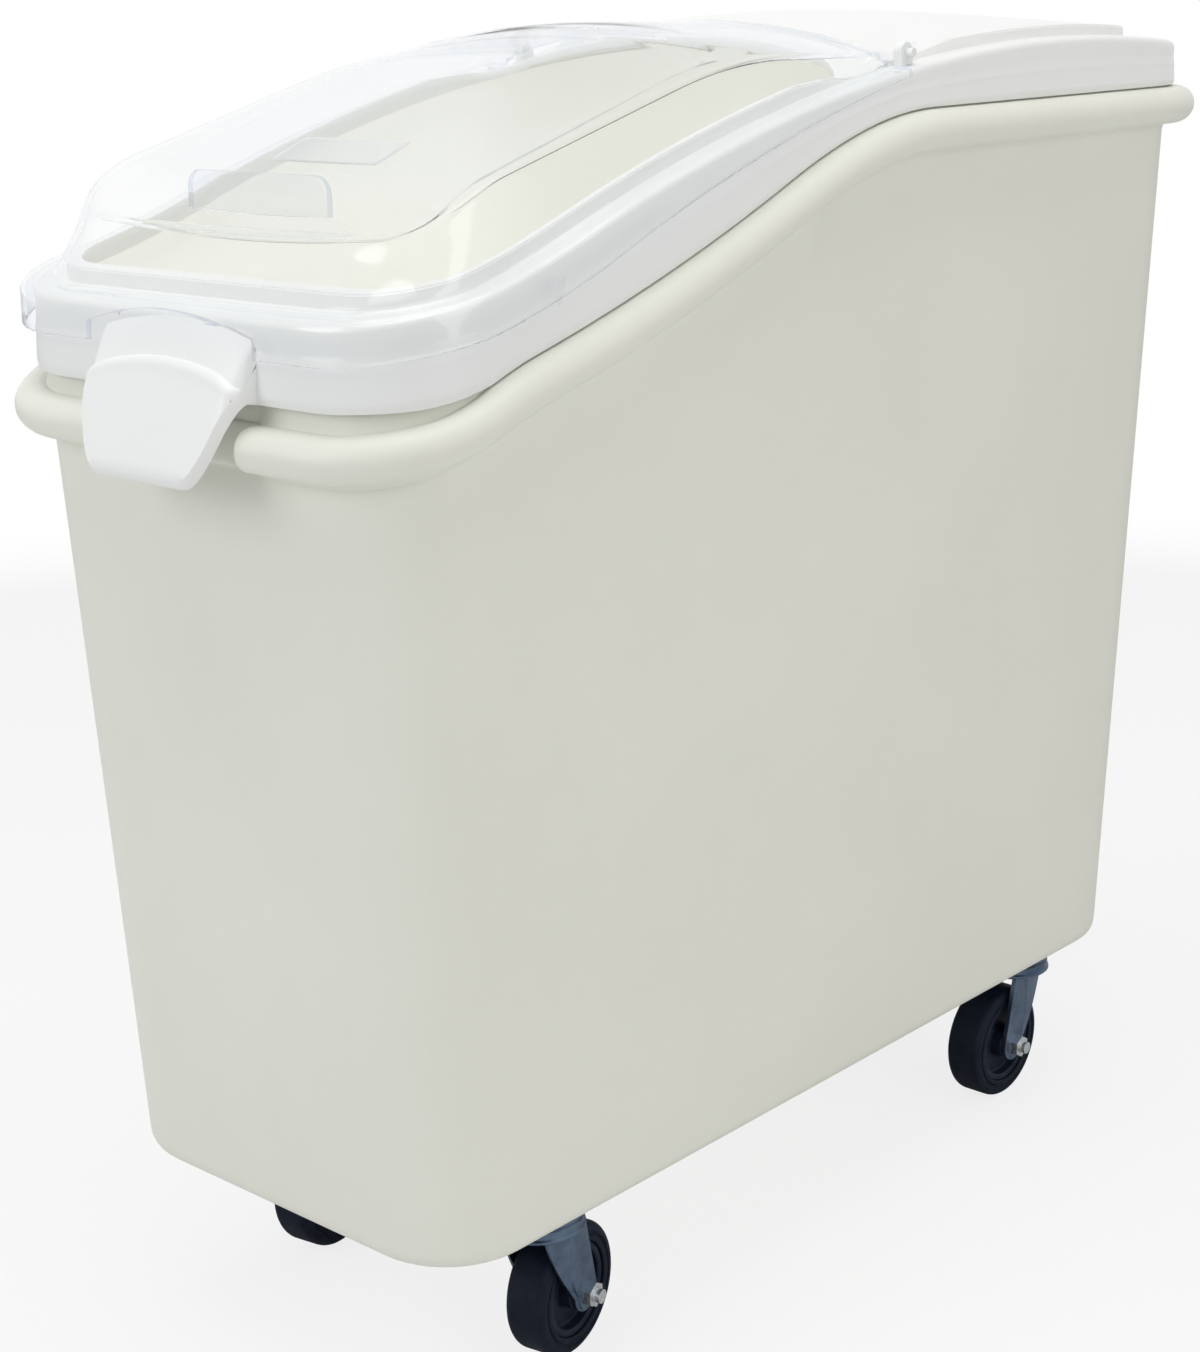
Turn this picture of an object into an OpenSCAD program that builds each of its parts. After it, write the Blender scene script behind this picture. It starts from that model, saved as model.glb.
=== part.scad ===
// Rolling flour bin: a sloping-rim tub on four swivel casters, a white lid frame with a
// rear roof and a front pull, and a clear domed lid hinged over the front opening.
// Millimetres. The origin is on the floor under the middle of the part.
// +X is to the right of a person facing the front, +Y runs to the rear, +Z is up.

/* [Bin] */
// Length of the bin over its rim bead
rim_l = 743; // [680:1:800]
// Width of the bin over its rim bead
rim_w = 330; // [315:1:380]
// Length of the bin at its base
base_l = 658; // [600:1:670]
// Width of the bin at its base
base_w = 272; // [262:1:290]
// Height of the rim bead's lower edge at the front
rim_front_z = 521; // [480:1:560]
// Height of the rim bead's lower edge behind the slope
rim_rear_z = 642; // [620:1:680]
// How far the slope's upper end lies ahead of the middle
knee_ahead = 9; // [0:1:40]
// Rise of the rim bead from the slope's end to the rear
rear_rise = 4; // [0:0.5:8]
// How far the rim dips round the front corners
front_dip = 7; // [0:0.5:10]
// Thickness of the tub's walls
wall_t = 4; // [3:0.5:6]
// Thickness of the tub's floor
floor_t = 5; // [4:0.5:7]
// Plan corner radius at the rim
rim_corner_r = 52; // [46:1:62]
// Plan corner radius at the base
base_corner_r = 52; // [40:1:60]
// Radius of the bottom edge
base_round = 12; // [8:1:18]
// How far the rim bead stands out from the wall
bead_out = 19; // [14:0.5:24]
// Height of the rim bead
bead_h = 22; // [18:0.5:26]

/* [Lid frame] */
// Thickness of the frame's moulding
frame_t = 3; // [2:0.5:4]
// How far the frame's skirt stands out from the tub's wall line
skirt_out = 5; // [4.5:0.5:6]
// Gap between the bead and the skirt along the sides
skirt_gap = 1; // [0.5:0.5:4]
// Gap between the bead and the skirt at the front
skirt_front_gap = 7; // [5:0.5:12]
// Height of the ledge's highest point over the rear bead line
ledge_rise = 58; // [52:1:66]
// Height of the ledge over the front bead line
ledge_front_rise = 65; // [58:1:70]
// Radius of the ledge's long arc, seen from the side
top_radius = 1260; // [1100:10:1500]
// Distance of the arc's highest point from the bin's rear end
apex_from_rear = 160; // [120:1:200]
// Height of the coaming round the opening, over the ledge
coaming_h = 8; // [5:0.5:10]
// Width of the coaming's top
coaming_w = 4; // [3.5:0.5:8]
// Height of the rear roof's edge over the ledge
roof_h = 6.5; // [4:0.5:8]
// Rise of the roof from its edges to its middle, at its front end
roof_crown = 19; // [14:0.5:20]
// Rise of the roof from its edges to its middle, at its rear end
roof_crown_rear = 2; // [1:0.5:6]
// Length of the ledge behind the roof
rear_ledge = 46; // [30:1:60]

/* [Front pull] */
// Half the width of the pull
pull_half_w = 55; // [40:1:60]
// Depth that the pull hangs below the skirt
pull_drop = 42; // [35:1:55]
// How far the pull's face stands ahead of the rim bead at its lower edge
pull_reach = 17.5; // [12:0.5:25]
// How far the pull's face leans forward from its top to its lower edge
pull_lean = 11; // [5:0.5:15]
// Depth of the flange round the pull's lower edge
pull_flange = 12; // [8:0.5:16]

/* [Clear lid] */
// Thickness of the clear lid
lid_t = 2.5; // [2:0.25:3]
// Y of the lid's rear end, from the bin's middle
lid_rear_y = 20; // [0:1:40]
// How far the lid's skirt stands out from the frame's skirt
lid_out = 7; // [5.5:0.5:9]
// How far the lid's skirt laps over the ledge at the front
lid_lap_front = 17; // [12:0.5:20]
// How far the lid's skirt laps over the ledge at its rear end
lid_lap_rear = 2; // [1:0.5:5]
// Height of the dome's crest over the ledge at the front
crest_rise = 45; // [35:0.5:50]
// Height of the dome's crest at its rear end over the ledge there
crest_rear_rise = 10; // [8:0.5:14]
// How far the dome's crest dips round the front corners
crest_dip = 14; // [6:0.5:18]
// Depth of the top panel's hollow at the front
panel_dip = 8; // [4:0.5:12]
// Width of the finger fin
fin_w = 103; // [70:1:120]
// Height of the finger fin
fin_h = 20; // [14:0.5:26]
// Thickness of the finger fin
fin_t = 3; // [2:0.25:4]
// Radius of the lid's pivot stubs
pivot_r = 2.5; // [2:0.25:3]

/* [Casters] */
// Height of a caster from the floor to the top of its plate
caster_h = 101; // [96:0.5:110]
// Diameter of the wheels
wheel_d = 76; // [60:0.5:78]
// Width of the wheels
wheel_w = 25; // [20:0.5:30]
// How far the wheel trails behind the kingpin
trail = 20; // [16:0.5:30]
// Distance of the kingpins from the middle line, to the sides
kingpin_x = 95.5; // [88:0.5:97]
// Distance of the front kingpins from the middle
front_kingpin_y = 223; // [200:1:250]
// Distance of the rear kingpins from the middle
rear_kingpin_y = 251; // [220:1:252]
// Width of a caster's plate
plate_w = 56; // [52:1:58]
// Length of a caster's plate
plate_l = 92; // [84:1:100]
// Thickness of a caster's plate and fork
steel_t = 3; // [2.5:0.25:3.5]
// Diameter of the axle bolt
axle_d = 8; // [6:0.5:10]
// Diameter of the plate screws
screw_d = 6; // [5:0.5:8]

/* [Hidden] */
// Fineness of round parts
$fn = 48;
// Overrun of cuts
over = 1;
// Radial clearance of a running fit
run_fit = 0.06;
// Gap between mouldings that rest on each other
seat_gap = 0.5;

half_l = rim_l / 2;
half_w = rim_w / 2;
wall_half_w = half_w - bead_out;
wall_half_l = half_l - bead_out;
// Half lengths of the straight runs between the rim's round corners
run_x = wall_half_w - rim_corner_r;
run_y = wall_half_l - rim_corner_r;
base_run_x = base_w / 2 - base_corner_r;
base_run_y = base_l / 2 - base_corner_r;
base_z = caster_h;

// Rim line: share of the slope's rise that is straight, and the softness of its upper end
slope_straight_share = 0.56;
knee_soft = 30;
knee_y = -knee_ahead;
// Where the dip round the front corners starts, from the front end, and its length
dip_from = 100;
dip_start_y = dip_from - half_l;
dip_l = 70;

// Ledge line
ledge_soft = 9;
front_pitch_share = 0.2;
front_flat_l = 210;
apex_y = half_l - apex_from_rear;
ledge_top_z = rim_rear_z + ledge_rise;
ledge_front_z = rim_front_z + ledge_front_rise;

// Corner offsets of the frame's parts from the straight runs
skirt_r = rim_corner_r + skirt_out;
skirt_draft = 1;
ledge_round = 4;
neck_gap = 1.5;
neck_r = skirt_r - frame_t - neck_gap;
ledge_w = 15;
coaming_r = skirt_r - ledge_w;
coaming_lean = 1.5;
mouth_r = coaming_r - coaming_w;
mouth_front_in = 8;
coaming_front_in = 4;
shelf_w = 10;
mouth_rear_y = lid_rear_y - shelf_w;
lip_h = 5;
// Shares of the way from the roof's outline to the opening, and of the skirt's height
top_shares = [0.006, 0.1, 0.26, 0.45, 0.62, 0.76, 0.87, 0.94, 1];
skirt_shares = [0.04, 0.1, 0.4, 0.46, 0.6];
shelf_y = lid_rear_y + shelf_w;
shelf_edge = 3;
roof_front_h = 1.5;
roof_ramp_l = 60;
roof_rear_y = half_l - bead_out - rear_ledge;

// Front pull
pull_side = 3;
pull_face_y = -half_l - pull_reach;
pull_top_gap = 4;
pull_roof_drop = 7;
pull_round = 4;
pull_power = 2.6;
pull_shares = [0, 0.2, 0.4, 0.58, 0.74, 0.87, 0.95, 1];
bead_behind_share = 0.12;

// Clear lid
lid_r = skirt_r + lid_out;
lid_round = 4;
arch_half_w = pull_half_w + 2 * pull_side;
arch_end_rise = 8;
arch_rise = 10;
dome_r = coaming_r + coaming_lean + lid_t + 2 * seat_gap;
dome_fillet = 2;
dome_lean = 7;
dome_front_lean = 15;
dome_half = run_x + dome_r - dome_lean;
wall_shares = [0.97, 0.99];
crest_round = 5;
crest_w = 4;
panel_sink = 1.5;
crest_slope_l = 233;
crest_soft = 12;
crown_pitch_share = 0.133;
crown_soft = 6;
crown_step = 1.5;
fin_in = 68;
fin_y = fin_in - half_l;
fin_corner_r = 9;
rear_strip = 0.4;
panel_shares = [0.3, 0.62, 0.9];
ear_t = 4;
ear_wall = 3;
ear_foot = 14;
ear_lift = 2.5;
touch_gap = 0.3;
block_t = 5;
bend_share = 0.3;
lean_share = 0.8;
pivot_back = 16;
pivot_y = lid_rear_y + pivot_back;
pivot_lift = 7;

// Steps along the rings
corner_steps = 5;
side_steps = 16;
lid_side_steps = 12;
fin_steps = 4;
front_stations = concat(
    [for (s = pull_shares) s * pull_half_w],
    [pull_half_w + pull_side, arch_half_w, (arch_half_w + run_x) / 2]);

// Casters
ball_r = 3;
ball_count = 14;
race_r = 17;
race_h = 5;
race_rim_r = 25;
race_gap = 0.3;
crown_r = 26;
kingpin_r = 6;
rivet_r = 10;
rivet_h = 3;
rivet_top_h = 1.2;
leg_gap = 2;
leg_t = steel_t;
leg_end_r = 11;
leg_top_half = 16;
leg_step = 4;
sleeve_wall = 2.35;
sleeve_r = axle_d / 2 + sleeve_wall;
tyre_t = 11;
core_r = wheel_d / 2 - tyre_t;
rim_t = 4;
hub_r = 11;
hub_side = 1.5;
web_t = 9;
groove_w = 1.2;
tread_share = 0.45;
tread_round = tyre_t * tread_share;
bolt_head_h = 5.3;
nut_h = 6.5;
bolt_tail = 4;
plate_corner_r = 8;
hole_in = 11;
hole_x = plate_w / 2 - hole_in;
hole_y = plate_l / 2 - hole_in;
screw_head_h = 3.4;
washer_t = 1.6;
screw_nut_h = 5;
screw_tail = 2;
head_share = 1.9;
washer_share = 2.6;
hex_share = 1.85;
// Resting swivel of the casters, counterclockwise seen from above
front_swivel = 10;
rear_swivel = 0;
ivory = "#e9e6d6";
white = "#f7f7f5";
clear = [0.86, 0.9, 0.93, 0.4];
zinc = "#b9c0c8";
rubber = "#262b36";

// Soft lower and upper bounds of two lines
function smooth_min(a, b, k) =
    let (h = max(0, min(1, 0.5 + (b - a) / (2 * k))))
    b * (1 - h) + a * h - k * h * (1 - h);
function smooth_max(a, b, k) = -smooth_min(-a, -b, k);
function clamp(v) = max(0, min(1, v));
function mix(a, b, s) = a + (b - a) * s;
// Dip towards the front, 0 behind its start and 1 a dip's length ahead of it
function dip(y) =
    let (s = clamp((dip_start_y - y) / dip_l))
    s * s * (3 - 2 * s);

// Lower edge of the rim bead at y
function slope_z(y) =
    let (u = (y + half_l) / (knee_y + half_l))
    mix(rim_front_z, rim_rear_z, u * slope_straight_share + u * u * (1 - slope_straight_share));
function level_z(y) = rim_rear_z + rear_rise * (y - knee_y) / (half_l - knee_y);
function rim_z(y) = smooth_min(slope_z(y), level_z(y), knee_soft) - front_dip * dip(y);

// Top of the frame's ledge at y
function arc_z(y) = ledge_top_z - top_radius + sqrt(pow(top_radius, 2) - pow(y - apex_y, 2));
function front_line_z(y) = ledge_front_z + front_pitch_share * (y + run_y + skirt_r);
function ledge_z(y) =
    y > front_flat_l - run_y - skirt_r ? arc_z(y) : smooth_max(arc_z(y), front_line_z(y), ledge_soft);

function front_ledge_z() = ledge_z(-run_y - skirt_r);

// Lower edge of the frame's skirt at y
function skirt_z(y) =
    rim_z(y) + bead_h + mix(skirt_gap, skirt_front_gap, clamp((-run_y - y) / rim_corner_r));

// Lower edge of the lid's skirt at y, and its arch over the pull
function lid_low_z(y) =
    ledge_z(y) - mix(lid_lap_rear, lid_lap_front, clamp((lid_rear_y - y) / (run_y - rim_corner_r)));
function arch_z(x) =
    front_ledge_z() - lid_lap_front + arch_end_rise + arch_rise * (1 - pow(x / arch_half_w, 2));

// Crest of the dome and the crown between its crests
function crest_rear_z() = ledge_z(lid_rear_y) + crest_rear_rise;
function crest_front_z() = front_ledge_z() + crest_rise;
function crest_slope_z(y) =
    let (share = (y + run_y + rim_corner_r - dome_front_lean) / crest_slope_l)
    mix(crest_front_z(), max(crest_rear_z(), crest_front_z()), share);
function crest_z(y) = smooth_min(crest_slope_z(y), crest_rear_z(), crest_soft) - crest_dip * dip(y);
function crown_h(y) =
    smooth_min(crown_pitch_share * (y - fin_y) - panel_dip, roof_crown - crown_step, crown_soft);

// Top of the roof, whose edges rise from the lid's end, and of the shelf under that end
function roof_crown_h(y) =
    mix(roof_crown, roof_crown_rear, clamp((y - shelf_y) / (roof_rear_y - shelf_y)));
function roof_z(p) =
    let (bow = 1 - pow(p[0] / (run_x + coaming_r), 2))
    let (edge_share = max(clamp(2 * bow), clamp((p[1] - shelf_y) / roof_ramp_l)))
    ledge_z(p[1]) + mix(roof_front_h, roof_h, edge_share) + roof_crown_h(p[1]) * bow;
function shelf_z(p) =
    let (bow = 1 - pow(p[0] / (run_x + mouth_r), 2))
    min(roof_z(p) - lid_t - 2 * seat_gap, coaming_z(p[1]) + roof_crown_h(p[1]) * bow);
// The coaming keeps under the dome's wall, which is low at its rear end
function coaming_z(y) =
    ledge_z(y) + min(coaming_h, (crest_z(y) - crest_round - lid_t - ledge_z(y)) / 2);
function frame_top_z(p) =
    p[1] > shelf_y ? roof_z(p)
    : p[1] > mouth_rear_y - shelf_edge ? shelf_z(p)
    : coaming_z(p[1]);

// One closed ring of plan points: straight runs to +-run in X and from front_y, round front
// corners of radius r and rear corners of radius rear_r; point 0 is the front middle, and the
// last two points of the rear edge keep to the foot and the top of the dome's wall
function rear_x(k, full) =
    k == len(front_stations) - 1 ? min(run_x + dome_r, wall_shares[1] * full)
    : k == len(front_stations) - 2 ? min(dome_half, wall_shares[0] * full)
    : front_stations[k] / run_x * full;
function right_half(run, front_y, rear_y, r, rear_r, steps) = concat(
    [for (s = front_stations) [s * run / run_x, front_y - r]],
    [for (k = [0:corner_steps])
        let (a = 90 * k / corner_steps)
        [run + r * sin(a), front_y - r * cos(a)]],
    [for (k = [1:steps - 1]) [run + r, mix(front_y, rear_y - rear_r, k / steps)]],
    [for (k = [0:corner_steps])
        let (a = 90 * k / corner_steps)
        [run + r - rear_r * (1 - cos(a)), rear_y - rear_r * (1 - sin(a))]],
    [for (k = [len(front_stations) - 1:-1:0]) [rear_x(k, run + r - rear_r), rear_y]]);
function mirrored(half) = concat(half, [for (k = [len(half) - 2:-1:1]) [-half[k][0], half[k][1]]]);
function ring(run, front_y, rear_y, r, rear_r, steps) =
    mirrored(right_half(run, front_y, rear_y, r, rear_r, steps));
function lift(points, height) = [for (p = points) [p[0], p[1], height(p)]];

// A closed skin over rings of equal length; the two ends are joined, or capped across X
module skin(rings, looped) {
    n = len(rings[0]);
    count = len(rings);
    points = [for (r = rings) each r];
    sides = [for (i = [0:count - (looped ? 1 : 2)]) for (j = [0:n - 1])
        let (a = i * n + j, b = i * n + (j + 1) % n)
        let (d = ((i + 1) % count) * n + j, c = ((i + 1) % count) * n + (j + 1) % n)
        each [[a, c, b], [a, d, c]]];
    last = (count - 1) * n;
    half = n / 2;
    f = len(front_stations);
    ladder = concat(
        [for (k = [-f:f - 1]) [f + 1, (k + n) % n, (k + 1 + n) % n]],
        [[f + 1, n - f - 1, n - f]],
        [for (i = [f + 1:half - f - 2]) each [[i, i + 1, n - i - 1], [i, n - i - 1, n - i]]],
        [[half - f - 1, half + f, half + f + 1]],
        [for (k = [half - f:half + f - 1]) [half - f - 1, k, k + 1]]);
    caps = looped ? [] : concat(ladder, [for (f = ladder) [last + f[0], last + f[2], last + f[1]]]);
    polyhedron(points = points, faces = concat(sides, caps), convexity = 10);
}

// Everything stands over the middle of the part, with the pull's reach shared out
module placed() {
    translate([0, pull_reach / 2, 0]) children();
}

// Tub

// Plan ring of the tub between its base (share 0) and its rim (share 1)
function tub_plan(share, r) =
    let (y = mix(base_run_y, run_y, share))
    ring(mix(base_run_x, run_x, share), -y, y + r, r, r, side_steps);
function rim_plan(r) = tub_plan(1, r);
function behind_pull(p) = p[1] < -run_y - rim_corner_r && abs(p[0]) < pull_half_w - pull_side ? 1 : 0;
function bead_plan(share) = [for (k = [0:len(rim_plan(rim_corner_r)) - 1])
    let (inner = rim_plan(rim_corner_r)[k], outer = rim_plan(rim_corner_r + bead_out)[k])
    mix(inner, outer, behind_pull(outer) == 1 ? share * bead_behind_share : share)];
function neck_top_z(y) = ledge_z(y) - frame_t - seat_gap;

module bin_tub() {
    bead_round = bead_h / 2;
    base_angles = [0, 30, 60, 90];
    bead_angles = [-90, -45, 0, 45, 90];
    inner_round = base_round - wall_t / 2;
    inner_z = base_z + floor_t;
    color(ivory) placed() difference() {
        skin(concat(
            [for (a = base_angles) lift(tub_plan(0, base_corner_r - base_round * (1 - sin(a))),
                function(p) base_z + base_round * (1 - cos(a)))],
            [lift(rim_plan(rim_corner_r), function(p) rim_z(p[1]))],
            [for (a = bead_angles) lift(bead_plan(1 - bead_round / bead_out * (1 - cos(a))),
                function(p) rim_z(p[1]) + bead_round * (1 + sin(a)))],
            [lift(rim_plan(neck_r), function(p) rim_z(p[1]) + bead_h)],
            [lift(rim_plan(neck_r), function(p) neck_top_z(p[1]))],
            [lift(rim_plan(neck_r - wall_t), function(p) neck_top_z(p[1]))],
            [lift(rim_plan(neck_r - wall_t), function(p) rim_z(p[1]))],
            [for (a = [90, 60, 30, 0]) lift(tub_plan(0, base_corner_r - wall_t - inner_round * (1 - sin(a))),
                function(p) inner_z + inner_round * (1 - cos(a)))]), false);
        at_screws() translate([0, 0, base_z - over])
            cylinder(d = screw_d + 2 * run_fit, h = floor_t + 2 * over);
    }
}

// Lid frame

// Height of the pull's lower edge, and of the roof where it leaves the skirt
function pull_low_z(x) =
    let (bow = pow(max(0, 1 - pow(abs(x) / pull_half_w, pull_power)), 1 / pull_power))
    skirt_z(-run_y - rim_corner_r) - pull_drop * bow;
function pull_root_z(x) = arch_z(x) - pull_top_gap;

// A frame ring; inside the pull's width its front points move out to pull_y at pull_z
function frame_ring(points, height, pull_y, pull_z) = [for (p = points)
    p[1] < -run_y - rim_corner_r / 2 && abs(p[0]) <= pull_half_w
        ? [p[0], pull_y, pull_z(p[0])]
        : [p[0], p[1], height(p)]];
// Plan ring between the roof's outline (share 0) and the opening (share 1)
function top_plan(share, r) = ring(run_x, mix(coaming_front_in, mouth_front_in, share) - run_y,
    mix(roof_rear_y, mouth_rear_y, share), r, r, side_steps);

module lid_frame() {
    front_y = -run_y - skirt_r;
    face_top_y = pull_face_y + pull_lean;
    roof_edge_y = face_top_y + pull_round;
    flange_y = pull_face_y + pull_flange;
    low = function(p) skirt_z(p[1]);
    high = function(p) ledge_z(p[1]);
    at_height = function(p, share) mix(low(p), high(p), share);
    outer = [
        frame_ring(rim_plan(skirt_r + skirt_draft), low, flange_y, function(x) pull_low_z(x) + pull_side / 2),
        frame_ring(rim_plan(skirt_r + skirt_draft), function(p) at_height(p, skirt_shares[0]),
            pull_face_y + pull_round / 4, function(x) pull_low_z(x)),
        frame_ring(rim_plan(skirt_r + skirt_draft), function(p) at_height(p, skirt_shares[1]),
            pull_face_y, function(x) pull_low_z(x) + pull_round),
        frame_ring(rim_plan(skirt_r + skirt_draft / 2), function(p) at_height(p, skirt_shares[2]),
            face_top_y, function(x) pull_root_z(x) - pull_roof_drop - pull_round),
        frame_ring(rim_plan(skirt_r + skirt_draft / 2), function(p) at_height(p, skirt_shares[3]),
            roof_edge_y, function(x) pull_root_z(x) - pull_roof_drop),
        frame_ring(rim_plan(skirt_r), function(p) at_height(p, skirt_shares[4]),
            front_y, function(x) pull_root_z(x)),
        lift(rim_plan(skirt_r), function(p) high(p) - ledge_round),
        lift(rim_plan(skirt_r - ledge_round * bend_share), function(p) high(p) - ledge_round * bend_share),
        lift(rim_plan(skirt_r - ledge_round), high),
        lift(top_plan(0, coaming_r + coaming_lean), high)];
    top = [for (s = top_shares) lift(top_plan(s, mix(coaming_r, mouth_r, s)), function(p) frame_top_z(p))];
    lip = [
        lift(top_plan(1, mouth_r), function(p) frame_top_z(p) - lip_h),
        lift(top_plan(1, mouth_r + frame_t), function(p) frame_top_z(p) - lip_h)];
    under_top = [for (k = [len(top_shares) - 2:-1:0])
        let (s = top_shares[k])
        lift(top_plan(s, mix(coaming_r, mouth_r, s) - frame_t * (1 - s)),
            function(p) frame_top_z(p) - frame_t)];
    under = [
        lift(top_plan(0, coaming_r + coaming_lean - frame_t), function(p) high(p) - frame_t),
        lift(rim_plan(skirt_r - frame_t), function(p) high(p) - frame_t),
        frame_ring(rim_plan(skirt_r - frame_t), function(p) at_height(p, skirt_shares[4]) - frame_t / 2,
            front_y + frame_t, function(x) pull_root_z(x) - frame_t),
        frame_ring(rim_plan(skirt_r - frame_t), function(p) at_height(p, skirt_shares[2]),
            face_top_y + frame_t, function(x) pull_root_z(x) - pull_roof_drop - pull_round - frame_t / 2),
        frame_ring(rim_plan(skirt_r + skirt_draft - frame_t), function(p) at_height(p, skirt_shares[1]),
            pull_face_y + frame_t, function(x) pull_low_z(x) + pull_round + frame_t / 2),
        frame_ring(rim_plan(skirt_r + skirt_draft - frame_t), low, flange_y,
            function(x) pull_low_z(x) + pull_side / 2 + frame_t)];
    color(white) placed() skin(concat(outer, top, lip, under_top, under), true);
}

// Pivot block on the ledge beside the roof, with the stub that the lid turns on
pivot_z = ledge_z(pivot_y) + pivot_lift;
ear_r = pivot_r + ear_wall;
block_x = run_x + coaming_r + coaming_lean + touch_gap;
ear_x = block_x + block_t + touch_gap;
module lid_pivot(side) {
    color(white) placed() mirror([side > 0 ? 0 : 1, 0, 0]) {
        translate([block_x, 0, 0]) rotate([90, 0, 90]) linear_extrude(block_t) {
            translate([pivot_y, pivot_z]) circle(ear_r);
            polygon([
                [pivot_y - ear_r, ledge_z(pivot_y - ear_r) + touch_gap],
                [pivot_y + ear_r, ledge_z(pivot_y + ear_r) + touch_gap],
                [pivot_y + ear_r, pivot_z],
                [pivot_y - ear_r, pivot_z]]);
        }
        translate([block_x + block_t / 2, pivot_y, pivot_z]) rotate([0, 90, 0])
            cylinder(r = pivot_r, h = block_t / 2 + 2 * touch_gap + ear_t);
    }
}

// Clear lid

function shoulder_z(y) = ledge_z(y) + seat_gap + lid_t;
// Top of the lid across its rear end
function lid_end_z(x) =
    abs(x) > run_x + dome_r ? shoulder_z(lid_rear_y)
    : abs(x) > dome_half
        ? mix(shoulder_z(lid_rear_y), crest_rear_z(), (run_x + dome_r - abs(x)) / dome_lean)
    : crest_rear_z() + crown_h(lid_rear_y) * (1 - pow(x / dome_half, 2));
function dome_z(p) = crest_z(p[1]) + crown_h(p[1]) * (1 - pow(p[0] / dome_half, 2));
function lid_plan(r, front_in, step) =
    ring(run_x, -run_y + front_in, lid_rear_y - step * rear_strip, r, lid_round / 2, lid_side_steps);
// A lid ring: its rear points lie on the lid's end, its front points may follow the arch
function lid_ring(points, height, sink) = [for (p = points)
    let (at_end = p[1] > points[len(points) / 2][1] - lid_round / 4)
    [p[0], p[1], at_end ? max(height(p), lid_end_z(p[0])) - sink : height(p) - sink]];
function low_edge_z(p) =
    p[1] < -run_y - rim_corner_r && abs(p[0]) < arch_half_w ? arch_z(p[0]) : lid_low_z(p[1]);
// The panel's rings shrink towards the middle line
function panel_plan(share, r, step) =
    ring(run_x * (1 - share), mix(-run_y + dome_front_lean, -run_y / 2, share),
        lid_rear_y - step * rear_strip, r * (1 - share) + fin_t, lid_round / 2, lid_side_steps);

// Outer rings of the lid from its lower edge to the panel's middle, moved in by inset and down by sink
function lid_rings(inset, sink) =
    let (crest_r = dome_r - dome_lean - inset)
    let (high = function(p) shoulder_z(p[1]))
    let (wall = function(p) crest_z(p[1]) - min(crest_round, (crest_z(p[1]) - high(p)) / 3))
    let (top = function(p) dome_z(p))
    let (panel = function(p) dome_z(p) - panel_sink)
    concat([
        lid_ring(lid_plan(lid_r - inset, 0, 1), function(p) shoulder_z(p[1]) - lid_round, sink),
        lid_ring(lid_plan(lid_r - inset - lid_round * bend_share, 0, 2),
            function(p) high(p) - lid_round * bend_share, sink),
        lid_ring(lid_plan(lid_r - inset - lid_round, 0, 3), high, sink),
        lid_ring(lid_plan(dome_r - inset + dome_fillet, 0, 4), high, sink),
        lid_ring(lid_plan(dome_r - inset, 0, 5), function(p) high(p) + dome_fillet, sink),
        lid_ring(lid_plan(crest_r + crest_round / 2, dome_front_lean * lean_share, 6), wall, sink),
        lid_ring(lid_plan(crest_r, dome_front_lean, 7), function(p) crest_z(p[1]), sink),
        lid_ring(lid_plan(crest_r - crest_w, dome_front_lean, 8), top, sink),
        lid_ring(lid_plan(crest_r - 2 * crest_w, dome_front_lean, 9), panel, sink)],
        [for (k = [0:len(panel_shares) - 1])
            lid_ring(panel_plan(panel_shares[k], crest_r - 2 * crest_w, 10 + k), panel, sink)]);
// Lower edge of the lid's skirt, which passes under the lid's rear end
function lid_edge(inset) = [for (p = lid_plan(lid_r - inset, 0, 0))
    let (at_end = p[1] > lid_rear_y - lid_round / 4 && abs(p[0]) < run_x + lid_r - lid_round)
    [p[0], p[1], at_end ? lid_end_z(p[0]) - lid_t / 2 : low_edge_z(p)]];

module clear_lid() {
    outer = concat([lid_edge(0)], lid_rings(0, 0));
    inner = concat([lid_edge(lid_t)], lid_rings(lid_t, lid_t));
    color(clear) placed() skin(concat([for (k = [len(inner) - 1:-1:0]) inner[k]], outer), false);
}

// Upright finger fin, whose foot follows the panel
module finger_fin() {
    half = fin_w / 2;
    foot = [for (k = [-fin_steps:fin_steps])
        let (x = half * k / fin_steps)
        [x, dome_z([x, fin_y + fin_t / 2]) - panel_sink + touch_gap]];
    top_z = dome_z([0, fin_y]) + fin_h;
    color(clear) placed() translate([0, fin_y + fin_t / 2, 0]) rotate([90, 0, 0]) linear_extrude(fin_t) {
        polygon(concat(foot, [
            [half, top_z - fin_corner_r],
            [half - fin_corner_r, top_z],
            [fin_corner_r - half, top_z],
            [-half, top_z - fin_corner_r]]));
        for (side = [-1, 1]) translate([side * (half - fin_corner_r), top_z - fin_corner_r])
            circle(fin_corner_r);
    }
}

// Ear on the lid's shoulder, with the bore that turns on the pivot's stub
module lid_ear(side) {
    foot_y = lid_rear_y - ear_foot;
    heel_y = lid_rear_y - lid_round;
    color(clear) placed() mirror([side > 0 ? 0 : 1, 0, 0])
        translate([ear_x, 0, 0]) rotate([90, 0, 90]) linear_extrude(ear_t) difference() {
            union() {
                translate([pivot_y, pivot_z]) circle(ear_r);
                polygon([
                    [foot_y, shoulder_z(foot_y) + touch_gap],
                    [heel_y, shoulder_z(heel_y) + touch_gap],
                    [lid_rear_y, shoulder_z(lid_rear_y) + ear_lift],
                    [pivot_y, pivot_z - ear_r],
                    [pivot_y, pivot_z + ear_r],
                    [foot_y, shoulder_z(foot_y) + ear_wall]]);
            }
            translate([pivot_y, pivot_z]) circle(pivot_r + run_fit);
        }
}

// Casters

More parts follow.
